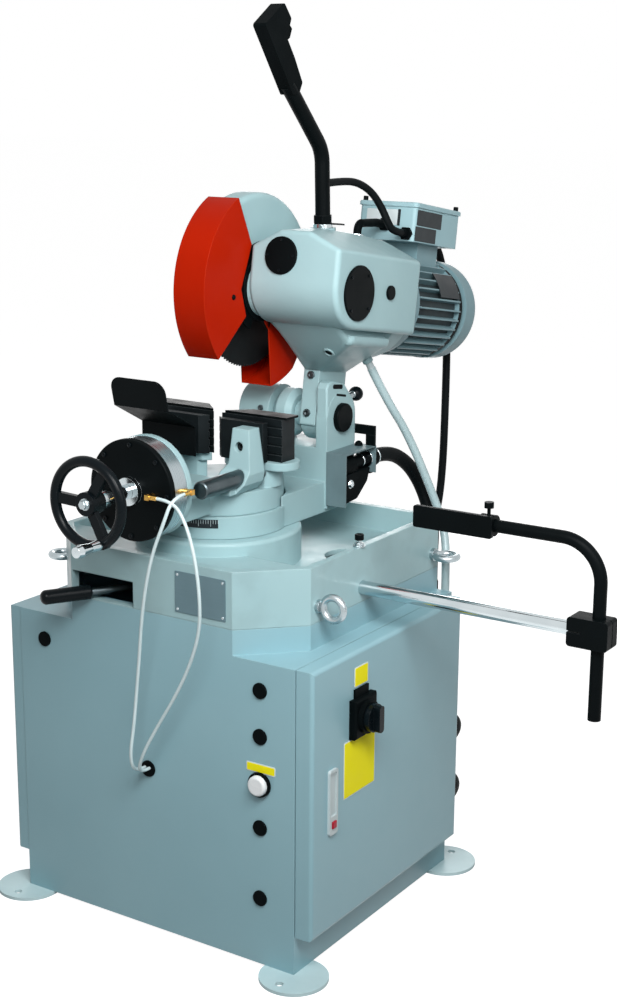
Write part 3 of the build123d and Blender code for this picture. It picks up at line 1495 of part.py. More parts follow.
nodes = {
    "cabinet_shell": make_cabinet,
    "foot_plates": make_feet,
    "left_cover": make_left_cover,
    "door_hinges": make_door_hinges,
    "front_plugs": make_plugs,
    "power_lamp": make_lamp,
    "rear_glands": make_rear_glands,
    "base_tray": make_tray,
    "eye_bolts": make_eye_bolts,
    "king_pin": make_king_pin,
    "vise_base": make_vise_base,
    "fixed_jaws": make_fixed_jaws,
    "jaw_top_plates": make_top_plates,
    "guide_bars": make_guide_bars,
    "cylinder_barrel": make_barrel,
    "cylinder_cover": make_cylinder_cover,
    "air_fittings": make_air_fittings,
    "air_hoses": make_air_hoses,
    "motor_cable_lower": make_motor_cable_lower,
    "coolant_hose_lower": make_coolant_lower,
    "conduit": make_conduit,
    "right_door": make_right_door,
    "door_fittings": make_door_fittings,
    "switch_knob": make_switch_knob,
    "latch_button": make_latch_button,
    "lock_lever": make_lock_lever,
    "swivel_body": make_swivel,
    "pivot_shaft": make_pivot_shaft,
    "valve_bracket": make_bracket,
    "conduit_fitting": make_conduit_fitting,
    "lock_pin": make_lock_pin,
    "head_casting": make_head,
    "gear_covers": make_gear_covers,
    "motor_body": make_motor,
    "fan_cover": make_fan_cover,
    "terminal_box": make_terminal_box,
    "terminal_lid": make_terminal_lid,
    "cable_glands": make_cable_glands,
    "spring_cover": make_spring_cover,
    "handle_tube": make_handle_tube,
    "handle_grip": make_grip,
    "handle_cable": make_handle_cable,
    "front_guard": make_front_guard,
    "guard_carrier": make_guard_carrier,
    "chute_guard": make_chute,
    "saw_blade": make_blade,
    "blade_flanges": make_flanges,
    "trigger": make_trigger,
    "vise_carriage": make_carriage,
    "moving_jaws": make_moving_jaws,
    "chip_guard": make_chip_guard,
    "handwheel": make_wheel,
    "vise_screw": make_screw,
    "crank_handle": make_crank_handle,
    "stop_rod": make_stop_rod,
    "stop_clamp": make_stop_clamp,
    "stop_arm": make_stop_arm,
    "stop_plate": make_stop_plate,
    "motor_cable_upper": make_motor_cable_upper,
    "coolant_hose_upper": make_coolant_upper,
}

os.makedirs("parts", exist_ok=True)
for name, make in nodes.items():
    export_step(make(), f"parts/{name}.step")
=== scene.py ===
import math
import bmesh
import bpy
import numpy as np
from mathutils import Matrix


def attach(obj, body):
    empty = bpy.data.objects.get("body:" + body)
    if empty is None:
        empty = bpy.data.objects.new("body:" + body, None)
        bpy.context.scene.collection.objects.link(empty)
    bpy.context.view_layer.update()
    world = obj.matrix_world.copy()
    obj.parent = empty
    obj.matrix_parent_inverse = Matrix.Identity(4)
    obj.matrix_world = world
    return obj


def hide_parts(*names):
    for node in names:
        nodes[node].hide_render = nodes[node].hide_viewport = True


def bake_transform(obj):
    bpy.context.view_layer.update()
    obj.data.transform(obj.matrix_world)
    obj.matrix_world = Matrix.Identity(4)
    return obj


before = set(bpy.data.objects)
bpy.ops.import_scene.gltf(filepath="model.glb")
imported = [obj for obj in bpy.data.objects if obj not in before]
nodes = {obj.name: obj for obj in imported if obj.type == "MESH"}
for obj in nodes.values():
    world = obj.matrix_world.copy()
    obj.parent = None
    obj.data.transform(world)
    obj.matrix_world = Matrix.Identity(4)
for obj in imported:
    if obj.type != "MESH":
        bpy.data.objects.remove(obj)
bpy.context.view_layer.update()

right, up = np.array((1.0, 0.0, 0.0)), np.array((0.0, 0.0, 1.0))
ahead, behind = np.array((0.0, -1.0, 0.0)), np.array((0.0, 1.0, 0.0))

# The head is laid out with its motor level: x, back and up from the hinge pivot, then tilted.
headFrame = {"pivot": (0.0, 0.155, 0.895), "tilt": 9.0}
headPivot = np.array(headFrame["pivot"])
headTilt = math.radians(headFrame["tilt"])
headAxes = np.array([(1.0, 0.0, 0.0),
                     (0.0, math.cos(headTilt), -math.sin(headTilt)),
                     (0.0, math.sin(headTilt), math.cos(headTilt))])


# A direction on the head: x, back and rise times the head's three tilted axes, added up.
def headDirection(x, back, rise):
    return np.array((x, back, rise)) @ headAxes


# A place on the head: the pivot plus the direction.
def headPoint(x, back, rise):
    return headPivot + headDirection(x, back, rise)


headUp, headAhead, headBehind = headDirection(0, 0, 1), headDirection(0, -1, 0), headDirection(0, 1, 0)


# Vectors divided by their lengths.
def unit(v):
    v = np.asarray(v, float)
    return v / np.linalg.norm(v, axis=-1, keepdims=True)


# Shader nodes: values go on the sockets, sockets are linked.
def addNode(tree, kind, inputs=None, **options):
    made = tree.nodes.new(kind)
    for key, value in options.items():
        setattr(made, key, value)
    for key, value in (inputs or {}).items():
        if isinstance(value, bpy.types.NodeSocket):
            tree.links.new(value, made.inputs[key])
        else:
            made.inputs[key].default_value = value
    return made


# Cloudy noise, its scale in waves per metre, drawn out into lines where the place is stretched.
def noise(tree, place, scale, detail=4.0, stretch=None):
    if stretch:
        place = addNode(tree, "ShaderNodeMapping", {"Vector": place, "Scale": stretch}).outputs[0]
    made = addNode(tree, "ShaderNodeTexNoise", {"Vector": place, "Scale": scale, "Detail": detail})
    return made.outputs["Fac"]


# A value that runs from fromLow to fromHigh, carried evenly onto low to high.
def spread(tree, value, low, high, fromLow=0.3, fromHigh=0.7):
    made = addNode(tree, "ShaderNodeMapRange", {"Value": value, "From Min": fromLow, "From Max": fromHigh,
                                                "To Min": low, "To Max": high})
    return made.outputs[0]


# Two values multiplied.
def times(tree, a, b):
    return addNode(tree, "ShaderNodeMath", {0: a, 1: b}, operation="MULTIPLY").outputs[0]


# Colour a, gone over to colour b by the share.
def mixColour(tree, share, a, b):
    made = addNode(tree, "ShaderNodeMix", data_type="RGBA")
    for socket, value in ((made.inputs["Factor"], share), (made.inputs[6], a), (made.inputs[7], b)):
        if isinstance(value, bpy.types.NodeSocket):
            tree.links.new(value, socket)
        else:
            socket.default_value = value if socket.type != "RGBA" else (*value, 1.0)
    return made.outputs[2]


# What the finishes share: noise scales and details, and the values between which stain and rubbing set in
finishBase = {"roughScale": 35.0, "stainDetail": 6.0, "stainFrom": (0.52, 0.68), "edgeSamples": 4,
              "rubScale": 60.0, "rubShare": (0.2, 1.0), "rubFrom": (0.8, 0.97), "bumpDetail": 2.0,
              "gloss": 0.5}


# One finish: the colour drifts to its shade, rubbed edges show the worn colour, the roughness wanders,
# and a fine grain and slow lumps raise the surface over a rounded-edge normal.
def makeFinish(name, look):
    mat = bpy.data.materials.new(name)
    mat.use_nodes = True
    tree = mat.node_tree
    shader = tree.nodes["Principled BSDF"]
    place = addNode(tree, "ShaderNodeTexCoord").outputs["Object"]
    stretch = look.get("lines")
    drift = noise(tree, place, look["drift"])
    colour = mixColour(tree, spread(tree, drift, 0.0, 1.0), look["colour"], look["shade"])
    if "stain" in look:
        patch = noise(tree, place, look["stainScale"], finishBase["stainDetail"])
        share = spread(tree, patch, 0.0, look["stainShare"], *finishBase["stainFrom"])
        colour = mixColour(tree, share, colour, look["stain"])
    bevel = addNode(tree, "ShaderNodeBevel", {"Radius": look["edge"]}, samples=finishBase["edgeSamples"])
    rounded = bevel.outputs[0]
    if "worn" in look:
        flat = addNode(tree, "ShaderNodeNewGeometry").outputs["Normal"]
        turn = addNode(tree, "ShaderNodeVectorMath", {0: rounded, 1: flat}, operation="DOT_PRODUCT")
        rub = times(tree, spread(tree, turn.outputs["Value"], look["wear"], 0.0, *finishBase["rubFrom"]),
                    spread(tree, noise(tree, place, finishBase["rubScale"]), *finishBase["rubShare"]))
        colour = mixColour(tree, rub, colour, look["worn"])
    tree.links.new(colour, shader.inputs["Base Color"])
    wander = noise(tree, place, finishBase["roughScale"], stretch=stretch)
    tree.links.new(spread(tree, wander, *look["rough"]), shader.inputs["Roughness"])
    normal = rounded
    for scale, depth in [look[key] for key in ("lump", "grain") if key in look]:
        height = noise(tree, place, scale, finishBase["bumpDetail"], stretch)
        normal = addNode(tree, "ShaderNodeBump", {"Height": height, "Distance": depth, "Strength": 1.0,
                                                  "Normal": normal}).outputs[0]
    tree.links.new(normal, shader.inputs["Normal"])
    shader.inputs["Metallic"].default_value = look.get("metal", 0.0)
    shader.inputs["Specular IOR Level"].default_value = look.get("gloss", finishBase["gloss"])
    return mat


# Scales are in waves per metre, edges and depths in metres; lump and grain are each a scale and a depth.
looks = {
    "cabinetPaint": {"colour": (0.288, 0.483, 0.540), "shade": (0.264, 0.453, 0.510), "drift": 4.0,
                     "rough": (0.30, 0.38), "grain": (1500.0, 1.0e-5), "edge": 0.0015, "gloss": 0.3,
                     "worn": (0.42, 0.56, 0.585), "wear": 0.5},
    "castPaint": {"colour": (0.350, 0.520, 0.543), "shade": (0.310, 0.470, 0.496), "drift": 7.0,
                  "rough": (0.32, 0.44), "lump": (90.0, 1.6e-4), "grain": (900.0, 2.0e-5), "edge": 0.0035,
                  "gloss": 0.3, "worn": (0.48, 0.625, 0.645), "wear": 0.45},
    "trayPaint": {"colour": (0.360, 0.532, 0.556), "shade": (0.318, 0.483, 0.508), "drift": 5.0,
                  "rough": (0.28, 0.42), "lump": (70.0, 1.2e-4), "grain": (1000.0, 1.6e-5), "edge": 0.003,
                  "gloss": 0.3, "worn": (0.48, 0.625, 0.645), "wear": 0.5,
                  "stain": (0.115, 0.155, 0.165), "stainScale": 14.0, "stainShare": 0.12},
    "motorPaint": {"colour": (0.205, 0.336, 0.371), "shade": (0.178, 0.301, 0.336), "drift": 9.0,
                   "rough": (0.36, 0.48), "lump": (140.0, 8.0e-5), "grain": (1100.0, 2.0e-5), "edge": 0.0008,
                   "gloss": 0.3, "worn": (0.46, 0.59, 0.61), "wear": 0.4},
    "boxPaint": {"colour": (0.364, 0.552, 0.596), "shade": (0.326, 0.508, 0.553), "drift": 8.0,
                 "rough": (0.38, 0.50), "grain": (1200.0, 1.6e-5), "edge": 0.0015, "gloss": 0.3,
                 "worn": (0.55, 0.66, 0.675), "wear": 0.4},
    "footPaint": {"colour": (0.560, 0.730, 0.755), "shade": (0.480, 0.650, 0.680), "drift": 12.0,
                  "rough": (0.38, 0.52), "grain": (900.0, 3.0e-5), "edge": 0.001, "gloss": 0.3,
                  "worn": (0.56, 0.66, 0.68), "wear": 0.6},
    "guardOrange": {"colour": (0.410, 0.0135, 0.0015), "shade": (0.365, 0.0110, 0.0012), "drift": 6.0,
                    "rough": (0.30, 0.40), "grain": (1300.0, 1.2e-5), "edge": 0.0016, "gloss": 0.04,
                    "worn": (0.56, 0.060, 0.018), "wear": 0.7},
    "blackPaint": {"colour": (0.0016, 0.0028, 0.0032), "shade": (0.0028, 0.0044, 0.0050), "drift": 12.0,
                   "rough": (0.36, 0.48), "grain": (1200.0, 2.0e-5), "edge": 0.0012, "gloss": 0.04,
                   "worn": (0.040, 0.050, 0.054), "wear": 0.5},
    "blackGloss": {"colour": (0.0016, 0.0036, 0.0050), "shade": (0.0026, 0.0052, 0.0068), "drift": 14.0,
                   "rough": (0.22, 0.32), "grain": (1400.0, 1.0e-5), "edge": 0.0012, "gloss": 0.10},
    "blackPlastic": {"colour": (0.0018, 0.0030, 0.0034), "shade": (0.0030, 0.0046, 0.0052), "drift": 20.0,
                     "rough": (0.42, 0.56), "grain": (1800.0, 3.0e-5), "edge": 0.0010, "gloss": 0.02},
    "blackRubber": {"colour": (0.0024, 0.0036, 0.0042), "shade": (0.0040, 0.0058, 0.0066), "drift": 16.0,
                    "rough": (0.46, 0.60), "grain": (1500.0, 2.5e-5), "edge": 0.0006, "gloss": 0.06},
    "chrome": {"colour": (0.640, 0.700, 0.720), "shade": (0.560, 0.625, 0.648), "drift": 18.0,
               "rough": (0.07, 0.17), "grain": (700.0, 4.0e-6), "edge": 0.0008, "metal": 1.0},
    "zinc": {"colour": (0.500, 0.560, 0.580), "shade": (0.380, 0.440, 0.462), "drift": 40.0,
             "rough": (0.20, 0.36), "grain": (800.0, 2.0e-5), "edge": 0.0008, "metal": 1.0},
    "turnedSteel": {"colour": (0.500, 0.565, 0.590), "shade": (0.420, 0.480, 0.505), "drift": 10.0,
                    "rough": (0.24, 0.34), "grain": (90.0, 1.2e-5), "edge": 0.0012, "metal": 1.0,
                    "lines": (0.15, 14.0, 0.15)},
    "darkSteel": {"colour": (0.110, 0.136, 0.146), "shade": (0.070, 0.090, 0.098), "drift": 25.0,
                  "rough": (0.26, 0.42), "grain": (600.0, 2.0e-5), "edge": 0.0010, "metal": 1.0,
                  "worn": (0.36, 0.41, 0.43), "wear": 0.6},
    "jawSteel": {"colour": (0.010, 0.014, 0.016), "shade": (0.006, 0.009, 0.010), "drift": 22.0,
                 "rough": (0.36, 0.52), "grain": (700.0, 3.0e-5), "edge": 0.0010, "metal": 0.3, "gloss": 0.12,
                 "worn": (0.16, 0.19, 0.20), "wear": 0.6},
    # Saw blade and flanges near black: painted shade, as dark as the shadow inside the guards
    "bladeSteelPaintedShade": {"colour": (0.011, 0.014, 0.015), "shade": (0.007, 0.009, 0.010), "drift": 12.0,
                   "rough": (0.40, 0.54), "grain": (300.0, 1.5e-5), "edge": 0.0004, "metal": 0.5,
                   "gloss": 0.2, "worn": (0.30, 0.34, 0.36), "wear": 0.6},
    "brass": {"colour": (0.760, 0.460, 0.120), "shade": (0.600, 0.340, 0.080), "drift": 60.0,
              "rough": (0.18, 0.32), "grain": (900.0, 1.5e-5), "edge": 0.0006, "metal": 1.0},
    "milkHose": {"colour": (0.640, 0.760, 0.775), "shade": (0.560, 0.690, 0.706), "drift": 14.0,
                 "rough": (0.30, 0.40), "edge": 0.0004},
    "coolantHose": {"colour": (0.450, 0.585, 0.604), "shade": (0.385, 0.515, 0.535), "drift": 14.0,
                    "rough": (0.28, 0.38), "edge": 0.0004},
    "lampWhite": {"colour": (0.830, 0.860, 0.870), "shade": (0.780, 0.815, 0.828), "drift": 30.0,
                  "rough": (0.22, 0.32), "grain": (1200.0, 1.5e-5), "edge": 0.0010},
    "buttonRed": {"colour": (0.420, 0.0100, 0.0300), "shade": (0.350, 0.0075, 0.0240), "drift": 40.0,
                  "rough": (0.30, 0.42), "grain": (1500.0, 1.5e-5), "edge": 0.0008, "gloss": 0.2},
    "plateYellow": {"colour": (0.975, 0.890, 0.010), "shade": (0.940, 0.850, 0.009), "drift": 14.0,
                    "rough": (0.42, 0.54), "grain": (1200.0, 8.0e-6), "edge": 0.0003, "gloss": 0.12},
    "plateGrey": {"colour": (0.560, 0.640, 0.652), "shade": (0.500, 0.580, 0.594), "drift": 20.0,
                  "rough": (0.34, 0.46), "grain": (1200.0, 1.0e-5), "edge": 0.0006, "gloss": 0.3},
    "plateMetal": {"colour": (0.150, 0.236, 0.268), "shade": (0.128, 0.206, 0.236), "drift": 10.0,
                   "rough": (0.40, 0.56), "grain": (60.0, 2.0e-5), "edge": 0.0004, "metal": 0.3, "gloss": 0.2,
                   "lines": (0.3, 0.3, 16.0)},
    # Fin valleys: painted shade in the grooves between the fins, with some dirt
    "finValleyShadeAndDirt": {"colour": (0.026, 0.038, 0.042), "shade": (0.040, 0.056, 0.061), "drift": 24.0,
                 "rough": (0.50, 0.64), "grain": (900.0, 4.0e-5), "edge": 0.0004, "gloss": 0.15},
    # Basin floor: painted shade under the arm, with oil and rust stain
    "basinShadeAndStain": {"colour": (0.190, 0.285, 0.306), "shade": (0.140, 0.212, 0.230), "drift": 8.0,
                   "rough": (0.44, 0.60), "lump": (60.0, 1.5e-4), "grain": (900.0, 2.0e-5), "edge": 0.002,
                   "gloss": 0.12, "stain": (0.075, 0.066, 0.058), "stainScale": 11.0, "stainShare": 0.6},
    "bracketPaint": {"colour": (0.150, 0.222, 0.240), "shade": (0.105, 0.160, 0.175), "drift": 11.0,
                     "rough": (0.42, 0.54), "grain": (1200.0, 1.6e-5), "edge": 0.0010, "gloss": 0.2,
                     "worn": (0.36, 0.46, 0.48), "wear": 0.4},
    "plateDark": {"colour": (0.011, 0.016, 0.019), "shade": (0.017, 0.024, 0.028), "drift": 30.0,
                  "rough": (0.34, 0.46), "grain": (900.0, 1.0e-5), "edge": 0.0004, "gloss": 0.2},
    "plateWhite": {"colour": (0.700, 0.770, 0.780), "shade": (0.640, 0.715, 0.727), "drift": 20.0,
                   "rough": (0.36, 0.48), "grain": (1200.0, 8.0e-6), "edge": 0.0004, "gloss": 0.3},
}
finishes = {name: makeFinish(name, look) for name, look in looks.items()}
print("finishes:", len(finishes))

nodeFinish = {
    "cabinetPaint": ("cabinet_shell", "left_cover", "right_door", "door_hinges"),
    "bracketPaint": ("valve_bracket",),
    "footPaint": ("foot_plates",),
    "trayPaint": ("base_tray",),
    "castPaint": ("vise_base", "swivel_body", "head_casting", "vise_carriage", "spring_cover"),
    "motorPaint": ("motor_body", "fan_cover"),
    "boxPaint": ("terminal_box", "terminal_lid"),
    "guardOrange": ("front_guard", "chute_guard"),
    "blackPaint": ("jaw_top_plates", "chip_guard", "handle_tube", "guard_carrier", "stop_arm",
                   "stop_clamp", "stop_plate", "gear_covers", "cylinder_cover", "pivot_shaft"),
    "blackGloss": ("handwheel", "lock_lever", "lock_pin", "switch_knob"),
    "blackPlastic": ("front_plugs", "rear_glands", "handle_grip", "trigger", "cable_glands", "door_fittings",
                     "power_lamp", "conduit_fitting"),
    "chrome": ("stop_rod", "vise_screw", "crank_handle"),
    "zinc": ("eye_bolts",),
    "turnedSteel": ("cylinder_barrel",),
    "darkSteel": ("guide_bars", "king_pin"),
    "jawSteel": ("fixed_jaws", "moving_jaws"),
    "bladeSteelPaintedShade": ("saw_blade", "blade_flanges"),
    "brass": ("air_fittings",),
    "buttonRed": ("latch_button",),
    "blackRubber": ("handle_cable", "motor_cable_upper", "motor_cable_lower", "conduit"),
    "milkHose": ("air_hoses",),
    "coolantHose": ("coolant_hose_upper", "coolant_hose_lower"),
}
for finish, names in nodeFinish.items():
    for name in names:
        nodes[name].data.materials.clear()
        nodes[name].data.materials.append(finishes[finish])


# A second finish on the faces of a node whose middles pass the test.
def secondFinish(name, finish, test):
    mesh = nodes[name].data
    mesh.materials.append(finishes[finish])
    middle = np.zeros(len(mesh.polygons) * 3)
    mesh.polygons.foreach_get("center", middle)
    chosen = test(*middle.reshape(-1, 3).T)
    index = np.zeros(len(mesh.polygons), np.int32)
    mesh.polygons.foreach_get("material_index", index)
    index[chosen] = len(mesh.materials) - 1
    mesh.polygons.foreach_set("material_index", index)


# Axes that several pieces are set by, and where the second finishes begin
turntable = {"y": -0.064}
viseAxis = {"z": 0.830, "coverFront": -0.3121}
seams = {"latchPlateTop": 0.39, "lampFront": -0.2736, "pinStem": 0.213, "shaftCaps": (-0.0758, 0.1218),
         "outletTop": 1.03, "leverRod": 0.2435, "hubRadius": 0.0242, "basinTop": 0.6155, "basinHalf": 0.25}
secondFinish("door_fittings", "plateGrey", lambda x, y, z: z < seams["latchPlateTop"])
secondFinish("power_lamp", "lampWhite", lambda x, y, z: y < seams["lampFront"])
secondFinish("lock_pin", "zinc", lambda x, y, z: y < seams["pinStem"])
secondFinish("pivot_shaft", "darkSteel",
             lambda x, y, z: (x > seams["shaftCaps"][0]) & (x < seams["shaftCaps"][1]))
secondFinish("cable_glands", "plateGrey", lambda x, y, z: z < seams["outletTop"])
secondFinish("lock_lever", "darkSteel", lambda x, y, z: np.hypot(x, y - turntable["y"]) < seams["leverRod"])
secondFinish("cylinder_cover", "chrome", lambda x, y, z: (y < viseAxis["coverFront"])
             & (np.hypot(x, z - viseAxis["z"]) < seams["hubRadius"]))
# The tray's basin floor takes a darker colour: painted shade under the arm, with oil stain
secondFinish("base_tray", "basinShadeAndStain", lambda x, y, z: (z < seams["basinTop"])
             & (np.maximum(np.abs(x), np.abs(y)) < seams["basinHalf"]))


# How far back from the pivot a place is: its steps in y and z along the head's second axis.
def headBack(y, z):
    return (y - headPivot[1]) * math.cos(headTilt) - (z - headPivot[2]) * math.sin(headTilt)


# How far up from the pivot a place is: its steps in y and z along the head's third axis.
def headRise(y, z):
    return (y - headPivot[1]) * math.sin(headTilt) + (z - headPivot[2]) * math.cos(headTilt)


motorAxis = {"x": 0.110, "rise": 0.216, "finRoot": 0.0845, "gapShadeFrom": 0.2692}
spindleAxis = {"back": -0.160, "rise": 0.224, "ring": 0.062, "ringLeft": 0.0309}
handleAxis = {"back": -0.106, "rise": 0.352, "lean": 11.0, "ring": (-0.0131, -0.0058)}


# Distance from the motor's axis: the root of the squared steps across and up.
def motorReach(x, y, z):
    return np.hypot(x - motorAxis["x"], headRise(y, z) - motorAxis["rise"])


# Distance from the spindle's axis: the root of the squared steps back and up.
def spindleReach(y, z):
    return np.hypot(headBack(y, z) - spindleAxis["back"], headRise(y, z) - spindleAxis["rise"])


# Place along the leaning handle: the step up times the lean's cosine, less the step back times its sine.
def alongHandle(y, z):
    lean = math.radians(handleAxis["lean"])
    return ((headRise(y, z) - handleAxis["rise"]) * math.cos(lean)
            - (headBack(y, z) - handleAxis["back"]) * math.sin(lean))


# Faces between the motor's fins take a near-black colour: painted shade in the valleys, with some dirt
secondFinish("motor_body", "finValleyShadeAndDirt", lambda x, y, z: motorReach(x, y, z) < motorAxis["finRoot"])
# The motor's neck behind the body, before the fan cover, is painted black: painted shade for the gap between
# them
secondFinish("motor_body", "blackPaint", lambda x, y, z: headBack(y, z) > motorAxis["gapShadeFrom"])
secondFinish("chute_guard", "blackPaint",
             lambda x, y, z: (spindleReach(y, z) < spindleAxis["ring"]) & (x > spindleAxis["ringLeft"]))
secondFinish("handle_tube", "chrome", lambda x, y, z: (alongHandle(y, z) > handleAxis["ring"][0])
             & (alongHandle(y, z) < handleAxis["ring"][1]))
print("nodes dressed:", sum(len(names) for names in nodeFinish.values()))


# Grids of points (rows, columns, 3) become one mesh of quads; the columns close round.
def addPiece(name, grids, body, finish, smooth=35.0):
    points, faces, start = [], [], 0
    for grid in grids:
        rows, columns = grid.shape[:2]
        index = start + np.arange(rows * columns).reshape(rows, columns)
        index = np.hstack([index, index[:, :1]])
        quads = np.stack([index[:-1, :-1], index[:-1, 1:], index[1:, 1:], index[1:, :-1]], axis=-1)
        faces.append(quads.reshape(-1, 4))
        points.append(grid.reshape(-1, 3))
        start += rows * columns
    mesh = bpy.data.meshes.new(name)
    mesh.from_pydata(np.concatenate(points).tolist(), [], np.concatenate(faces).tolist())
    work = bmesh.new()
    work.from_mesh(mesh)
    bmesh.ops.remove_doubles(work, verts=work.verts, dist=1e-6)
    bmesh.ops.dissolve_degenerate(work, edges=work.edges, dist=1e-7)
    bmesh.ops.recalc_face_normals(work, faces=work.faces)
    work.to_mesh(mesh)
    work.free()
    mesh.polygons.foreach_set("use_smooth", np.ones(len(mesh.polygons), bool))
    mesh.set_sharp_from_angle(angle=math.radians(smooth))
    mesh.materials.append(finishes[finish])
    piece = bpy.data.objects.new(name, mesh)
    bpy.context.scene.collection.objects.link(piece)
    if body:
        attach(piece, body)
    return piece


# Two directions square to an axis, and the axis: a guide crossed with it, then it crossed with the first.
# The guide is up, or right for an axis that is nearly upright.
def squareTo(axis):
    axis = unit(axis)
    guide = up if abs(axis[2]) < 0.9 else right
    first = unit(np.cross(guide, axis))
    return first, np.cross(axis, first), axis


# Turned form: profile rows are radius, height along the axis and share of a polygon. A point's radius is
# the row's, times cos(half side) / cos(angle from the side's middle) for the polygon's share.
def turned(profile, origin, axis, sides=6, segments=36):
    radius, height, flat = np.array(profile, float).T[:, :, None]
    angle = np.linspace(0.0, 2 * math.pi, segments, endpoint=False)
    side = 2 * math.pi / sides
    polygon = math.cos(side / 2) / np.cos(angle % side - side / 2)
    reach = radius * (1 + flat * (polygon - 1))
    first, second, axis = squareTo(axis)
    return (np.asarray(origin) + (reach * np.cos(angle))[..., None] * first
            + (reach * np.sin(angle))[..., None] * second + (height + 0 * angle)[..., None] * axis)


# The same turned form at each spot, which is a place and an axis.
def addTurned(name, profile, spots, body, finish):
    addPiece(name, [turned(profile, place, axis) for place, axis in spots], body, finish)


# Cap screw with a six-sided socket: from the socket's floor out over the head to its foot. The numbers here
# and in the hexagon bolt are shares of the radius and the height.
def capScrew(radius, height):
    return [(0, 0.45 * height, 0), (0.5 * radius, 0.45 * height, 1), (0.52 * radius, 0.97 * height, 1),
            (0.6 * radius, height, 0), (0.88 * radius, height, 0), (radius, 0.88 * height, 0),
            (radius, 0, 0), (0, 0, 0)]


# Hexagon bolt on a washer: from the top's middle down the six sides, then out over the washer.
def hexBolt(radius, height, washer=1.25):
    return [(0, height, 0), (0.80 * radius, height, 0), (radius, 0.9 * height, 1), (radius, 0.22 * height, 1),
            (washer * radius, 0.22 * height, 0), (washer * radius, 0.03 * height, 0),
            (washer * radius, 0, 0), (0, 0, 0)]


# Low domed head: radius times cos, height times sin of a quarter turn, with a foot sunk by a fifth.
def domeHead(radius, height, rows=6):
    turn = np.linspace(math.pi / 2, 0, rows)
    foot = -0.2 * height
    return [(radius * math.cos(t), height * math.sin(t), 0) for t in turn] + [(radius, foot, 0), (0, foot, 0)]


# Quarter arcs at four corners: each point's angle, and the signs of its corner across and up.
def cornerArcs(steps=7):
    step = np.linspace(0.0, math.pi / 2, steps)
    angle = np.concatenate([step + k * math.pi / 2 for k in range(4)])
    signX, signY = np.repeat([(1, 1), (-1, 1), (-1, -1), (1, -1)], steps, axis=0).T
    return angle, signX, signY


# Plate with round corners: quarter arcs about the four corner centres; rows run from the middle of the
# front over the softened edge to the middle of the back. Its front looks along across x upward.
def roundPlate(size, origin, across, upward, corner, thick, edge=0.0004):
    angle, signX, signY = cornerArcs()
    rows = np.array([(0, 0, thick), (1, edge, thick), (1, 0, thick - edge), (1, 0, 0), (0, 0, 0)], float)
    share, inset, level = rows.T[:, :, None]
    x = share * (signX * (size[0] / 2 - corner) + (corner - inset) * np.cos(angle))
    y = share * (signY * (size[1] / 2 - corner) + (corner - inset) * np.sin(angle))
    across, upward = unit(across), unit(upward)
    out = np.cross(across, upward)
    return (np.asarray(origin) + x[..., None] * across + y[..., None] * upward
            + (level + 0 * x)[..., None] * out)


# Outline (columns, 2) carried along a path: its first axis is the side direction made square to the path,
# its second is square to both. Both ends close at their middles.
def swept(path, outline, side):
    path, outline = np.asarray(path, float), np.asarray(outline, float)
    along = unit(np.gradient(path, axis=0))
    first = unit(side - (along @ side)[:, None] * along)
    second = np.cross(along, first)
    body = path[:, None] + outline[..., :1] * first[:, None] + outline[..., 1:] * second[:, None]
    columns = body.shape[1]
    ends = [np.broadcast_to(path[k], (1, columns, 3)) for k in (0, -1)]
    return np.concatenate([ends[0], body, ends[1]])


# Outline of a flat strip: four corners, half the width and half the thickness from its middle.
def strip(width, thick):
    x, y = width / 2, thick / 2
    return [(x, y), (-x, y), (-x, -y), (x, -y)]


# Outline of a rod: the radius times cos and sin of even steps round a turn.
def circle(radius, columns=24):
    angle = np.linspace(0.0, 2 * math.pi, columns, endpoint=False)
    return np.stack([radius * np.cos(angle), radius * np.sin(angle)], axis=-1)


# Flat plate of any convex outline (columns, 2), with softened edges drawn in towards its middle.
def outlinePlate(outline, origin, across, upward, thick, edge):
    outline = np.asarray(outline, float)
    middle = outline.mean(axis=0)
    reach = outline - middle
    drawn = reach * (1 - edge / np.linalg.norm(reach, axis=1, keepdims=True))
    rows = [(0 * reach, thick), (drawn, thick), (reach, thick - edge),
            (reach, edge), (drawn, 0.0), (0 * reach, 0.0)]
    flat = np.stack([row + middle for row, level in rows])
    level = np.array([level for row, level in rows])[:, None, None]
    across, upward = unit(across), unit(upward)
    out = np.cross(across, upward)
    return np.asarray(origin) + flat[..., :1] * across + flat[..., 1:] * upward + level * out


# Block between its left and right sides, with an outline in y and z.
def sideBlock(block):
    thick = block["right"] - block["left"]
    return outlinePlate(block["outline"], right * block["left"], behind, up, thick, block["edge"])


# Level sections of a form on the head: at each rise a rectangle with round corners, each point its corner's
# centre plus the corner's radius times cos and sin, closed at both ends.
def headSections(levels):
    rise, low, high, front, back, corner = np.array(levels, float).T[:, :, None]
    angle, signX, signY = cornerArcs()
    x = (low + high) / 2 + signX * ((high - low) / 2 - corner) + corner * np.cos(angle)
    y = (front + back) / 2 + signY * ((back - front) / 2 - corner) + corner * np.sin(angle)
    rings = np.stack(np.broadcast_arrays(x, y, rise), axis=-1) @ headAxes + headPivot
    ends = [np.broadcast_to(rings[k].mean(axis=0), (1, *rings.shape[1:])) for k in (0, -1)]
    return np.concatenate([ends[0], rings, ends[1]])


